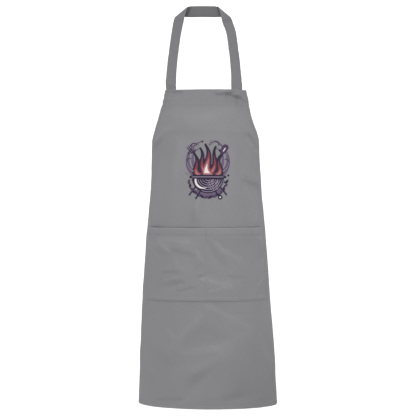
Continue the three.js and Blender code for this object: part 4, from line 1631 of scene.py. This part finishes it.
def waist_tie(name, side, node):
    """From behind the waist corner round the back, drawn together where it enters the knot."""
    start = float(panel_edge(np.array(TIE_DROP))) - TIE_LAP
    end = way_round(TIE_DROP) - KNOT_WIDTH / 3
    across = spaced(start, end, 4 * MM)
    middles = cloth_points(side * across, np.full(len(across), TIE_DROP), -TIE_DEPTH)
    turns = np.broadcast_to(np.array([0, 0, -float(side)]), middles.shape)
    drawn = 1 - smoothstep(end - across, 0, TIE_DRAW_LENGTH)
    piece, runs = strip(
        name, middles, turns, TIE_WIDTH, TIE_THICKNESS, TIE_CLOTH,
        1 - TIE_DRAWN * drawn, Rumple(0.3 * MM, RIPPLE_SIZE, 41 + side), gather=TIE_GATHER * drawn,
    )
    attach(piece, "strap_cloth", node)
    return runs


def knot_middle():
    return cloth_points(np.array(way_round(TIE_DROP)), np.array(TIE_DROP), -TIE_DEPTH)


def tie_tail(name, side, length, node):
    """Hanging end that leaves the knot gathered and opens out flat."""
    top = knot_middle()
    start = top[2] - KNOT_HEIGHT / 3
    layer = side * (TIE_THICKNESS + GAP) / 2
    share = np.linspace(0, 1, 90)
    spread = TAIL_START + (TAIL_SPREAD - TAIL_START) * share ** 0.8
    settle = KNOT_DEPTH / 4 * np.sin(np.pi * share)
    sag = TAIL_SAG * np.sin(2.6 * np.pi * share + side) * share
    middles = np.stack([
        top[0] + side * spread, top[1] + layer + settle + sag, start - (length + KNOT_HEIGHT / 6) * share,
    ], axis=-1)
    turns = np.broadcast_to(np.array([float(side), 0, 0]), middles.shape)
    drawn = 1 - smoothstep(share * length, 0, TAIL_DRAW_LENGTH)
    piece, runs = strip(
        name, middles, turns, TIE_WIDTH, TIE_THICKNESS, TIE_CLOTH,
        1 - TAIL_DRAWN * drawn, Rumple(0.6 * MM, RIPPLE_SIZE, 45 + side), gather=TAIL_GATHER * drawn,
    )
    attach(piece, "strap_cloth", node)
    return runs


def knot_band(centre, row):
    """Rings round one closed band of the knot, which tilts and waves about the middle."""
    turns = np.linspace(0, 2 * np.pi, BAND_STEPS, endpoint=False)
    around = np.linspace(0, 2 * np.pi, BAND_SIDES, endpoint=False)
    ring_x = np.cos(turns) * KNOT_WIDTH * row.wide
    ring_z = np.sin(turns) * KNOT_HEIGHT * row.high
    ring_y = np.sin(2 * turns + row.tilt) * BAND_WAVE
    x = ring_x * np.cos(row.tilt) - ring_z * np.sin(row.tilt)
    z = ring_x * np.sin(row.tilt) + ring_z * np.cos(row.tilt)
    middle = centre + np.stack([x, ring_y, z], axis=-1)
    along = unit(np.roll(middle, -1, axis=0) - np.roll(middle, 1, axis=0))
    out = unit(middle - centre)
    face = unit(np.cross(along, out))
    flat = KNOT_DEPTH * row.thick * (1 + BAND_SWELL * np.sin(3 * turns))
    pleat = 1 + BAND_PLEAT * np.cos(4 * around)
    rings = (
        middle[:, None]
        + face[:, None] * (flat[:, None] * np.cos(around) * pleat)[..., None]
        + out[:, None] * (BAND_HALF_WIDTH * np.sin(around) * pleat)[..., None]
    )
    return rings.reshape(-1, 3)


def knot():
    """A pulled half knot: bands that wrap over the two ties, with rounded shoulders behind them."""
    places = np.concatenate([knot_band(knot_middle(), row) for row in KNOT_BANDS])
    index = np.arange(len(places)).reshape(len(KNOT_BANDS), BAND_STEPS, BAND_SIDES)
    up = np.roll(index, -1, axis=1)
    faces = np.stack([index, up, np.roll(up, -1, axis=2), np.roll(index, -1, axis=2)], axis=-1).reshape(-1, 4)
    flat = np.stack([places[:, 0] * 1.1, places[:, 2]], axis=-1)
    piece = make_object("tied_knot", places, faces, TIE_CLOTH, flat, np.full(len(places), KNOT_WEAR))
    attach(piece, "strap_cloth", "tie_knot")


# Build

panel = body_panel()
turnings = [
    top_hem(),
    bottom_hem(),
    edge_hem("armhole_turning_left", BIB_HEM, WAIST_DROP, -1, "armhole_hem_left"),
    edge_hem("armhole_turning_right", BIB_HEM, WAIST_DROP, 1, "armhole_hem_right"),
    edge_hem("side_turning_left", WAIST_DROP, BODY_LENGTH - BOTTOM_HEM, -1, "side_hem_left"),
    edge_hem("side_turning_right", WAIST_DROP, BODY_LENGTH - BOTTOM_HEM, 1, "side_hem_right"),
]
panel_seams = panel_stitches()
inks = bib_print()
pocket = pocket_panel()
mouth_turning = pocket_hem()
pocket_seams = pocket_stitches()
neck_strap()
tie_runs = waist_tie("tie_left", -1, "waist_tie_left") + waist_tie("tie_right", 1, "waist_tie_right")
tie_runs += tie_tail("tail_left", -1, TAIL_LENGTH_LEFT, "tie_tail_left")
tie_runs += tie_tail("tail_right", 1, TAIL_LENGTH_RIGHT, "tie_tail_right")
attach(stitch_mesh("tie_stitches", tie_runs, GREY_THREAD), "strap_cloth")
knot()


# Studio, in metres, degrees and watts

FLOOR_LEVEL = -1.62
FLOOR_FRONT = -0.7
FLOOR_BEND = 1.5
FLOOR_HALF_WIDTH = 2.6
WALL_PLACE = 3.2
WALL_TOP = 4.0
ROOM_LIGHT = 0.28

Lamp = namedtuple("Lamp", "name place target width height power")
LAMPS = [
    Lamp("top", (-0.4, -2.2, 1.5), (0.0, -0.15, -0.5), 3.0, 0.5, 34.5),
    Lamp("left", (-1.7, -1.4, -0.4), (0.0, -0.15, -0.5), 0.8, 0.8, 16),
    Lamp("right", (1.6, -1.3, -0.25), (0.0, -0.15, -0.45), 0.8, 0.7, 17.5),
    Lamp("wall", (0.0, 0.9, 2.5), (0.0, 3.2, 1.5), 6.0, 1.2, 190),
]

CAMERA_PLACE = (0.0047, -3.195, -0.516)
CAMERA_DIP = 0.877
CAMERA_LENS = 96.14
CAMERA_SENSOR = 36


def studio_floor():
    """Pale floor that curves up into a wall far behind."""
    profile = [(FLOOR_FRONT, FLOOR_LEVEL)]
    for angle in np.radians(np.linspace(0, 90, 24)):
        y = WALL_PLACE - FLOOR_BEND * (1 - np.sin(angle))
        profile.append((y, FLOOR_LEVEL + FLOOR_BEND * (1 - np.cos(angle))))
    profile.append((WALL_PLACE, WALL_TOP))
    vertices = np.array([(x, y, z) for y, z in profile for x in (-FLOOR_HALF_WIDTH, FLOOR_HALF_WIDTH)])
    faces = quads(np.arange(len(vertices)).reshape(-1, 2))[:, ::-1]
    material, tree, shader = new_material("Pale Floor", roughness=0.9, sheen=0.0)
    place = tree.nodes.new("ShaderNodeTexCoord")
    cloudy = noise_node(tree, place.outputs["Object"], scale=2.0, detail=2.0)
    tint = colour_mix(tree, cloudy, (0.93, 0.93, 0.93, 1.0), (0.95, 0.95, 0.95, 1.0))
    tree.links.new(tint, shader.inputs["Base Color"])
    make_object("studio_floor", vertices, faces, material)


def area_light(row):
    light = bpy.data.lights.new(row.name, "AREA")
    light.shape = "RECTANGLE"
    light.size = row.width
    light.size_y = row.height
    light.energy = row.power
    lamp = bpy.data.objects.new(row.name, light)
    bpy.context.scene.collection.objects.link(lamp)
    lamp.location = row.place
    way = Vector(row.target) - Vector(row.place)
    lamp.rotation_euler = way.to_track_quat("-Z", "Y").to_euler()


def lighting():
    world = bpy.data.worlds.new("Soft Room")
    world.use_nodes = True
    background = world.node_tree.nodes["Background"]
    background.inputs["Color"].default_value = (1.0, 1.0, 1.0, 1.0)
    background.inputs["Strength"].default_value = ROOM_LIGHT
    bpy.context.scene.world = world
    for row in LAMPS:
        area_light(row)
    bpy.context.scene.view_settings.view_transform = "Standard"


def photo_camera():
    camera = bpy.data.cameras.new("camera")
    camera.sensor_width = CAMERA_SENSOR
    camera.lens = CAMERA_LENS
    camera.clip_end = 50
    holder = bpy.data.objects.new("camera", camera)
    bpy.context.scene.collection.objects.link(holder)
    holder.location = CAMERA_PLACE
    holder.rotation_euler = (np.radians(90 - CAMERA_DIP), 0, 0)
    bpy.context.scene.camera = holder


studio_floor()
lighting()
photo_camera()
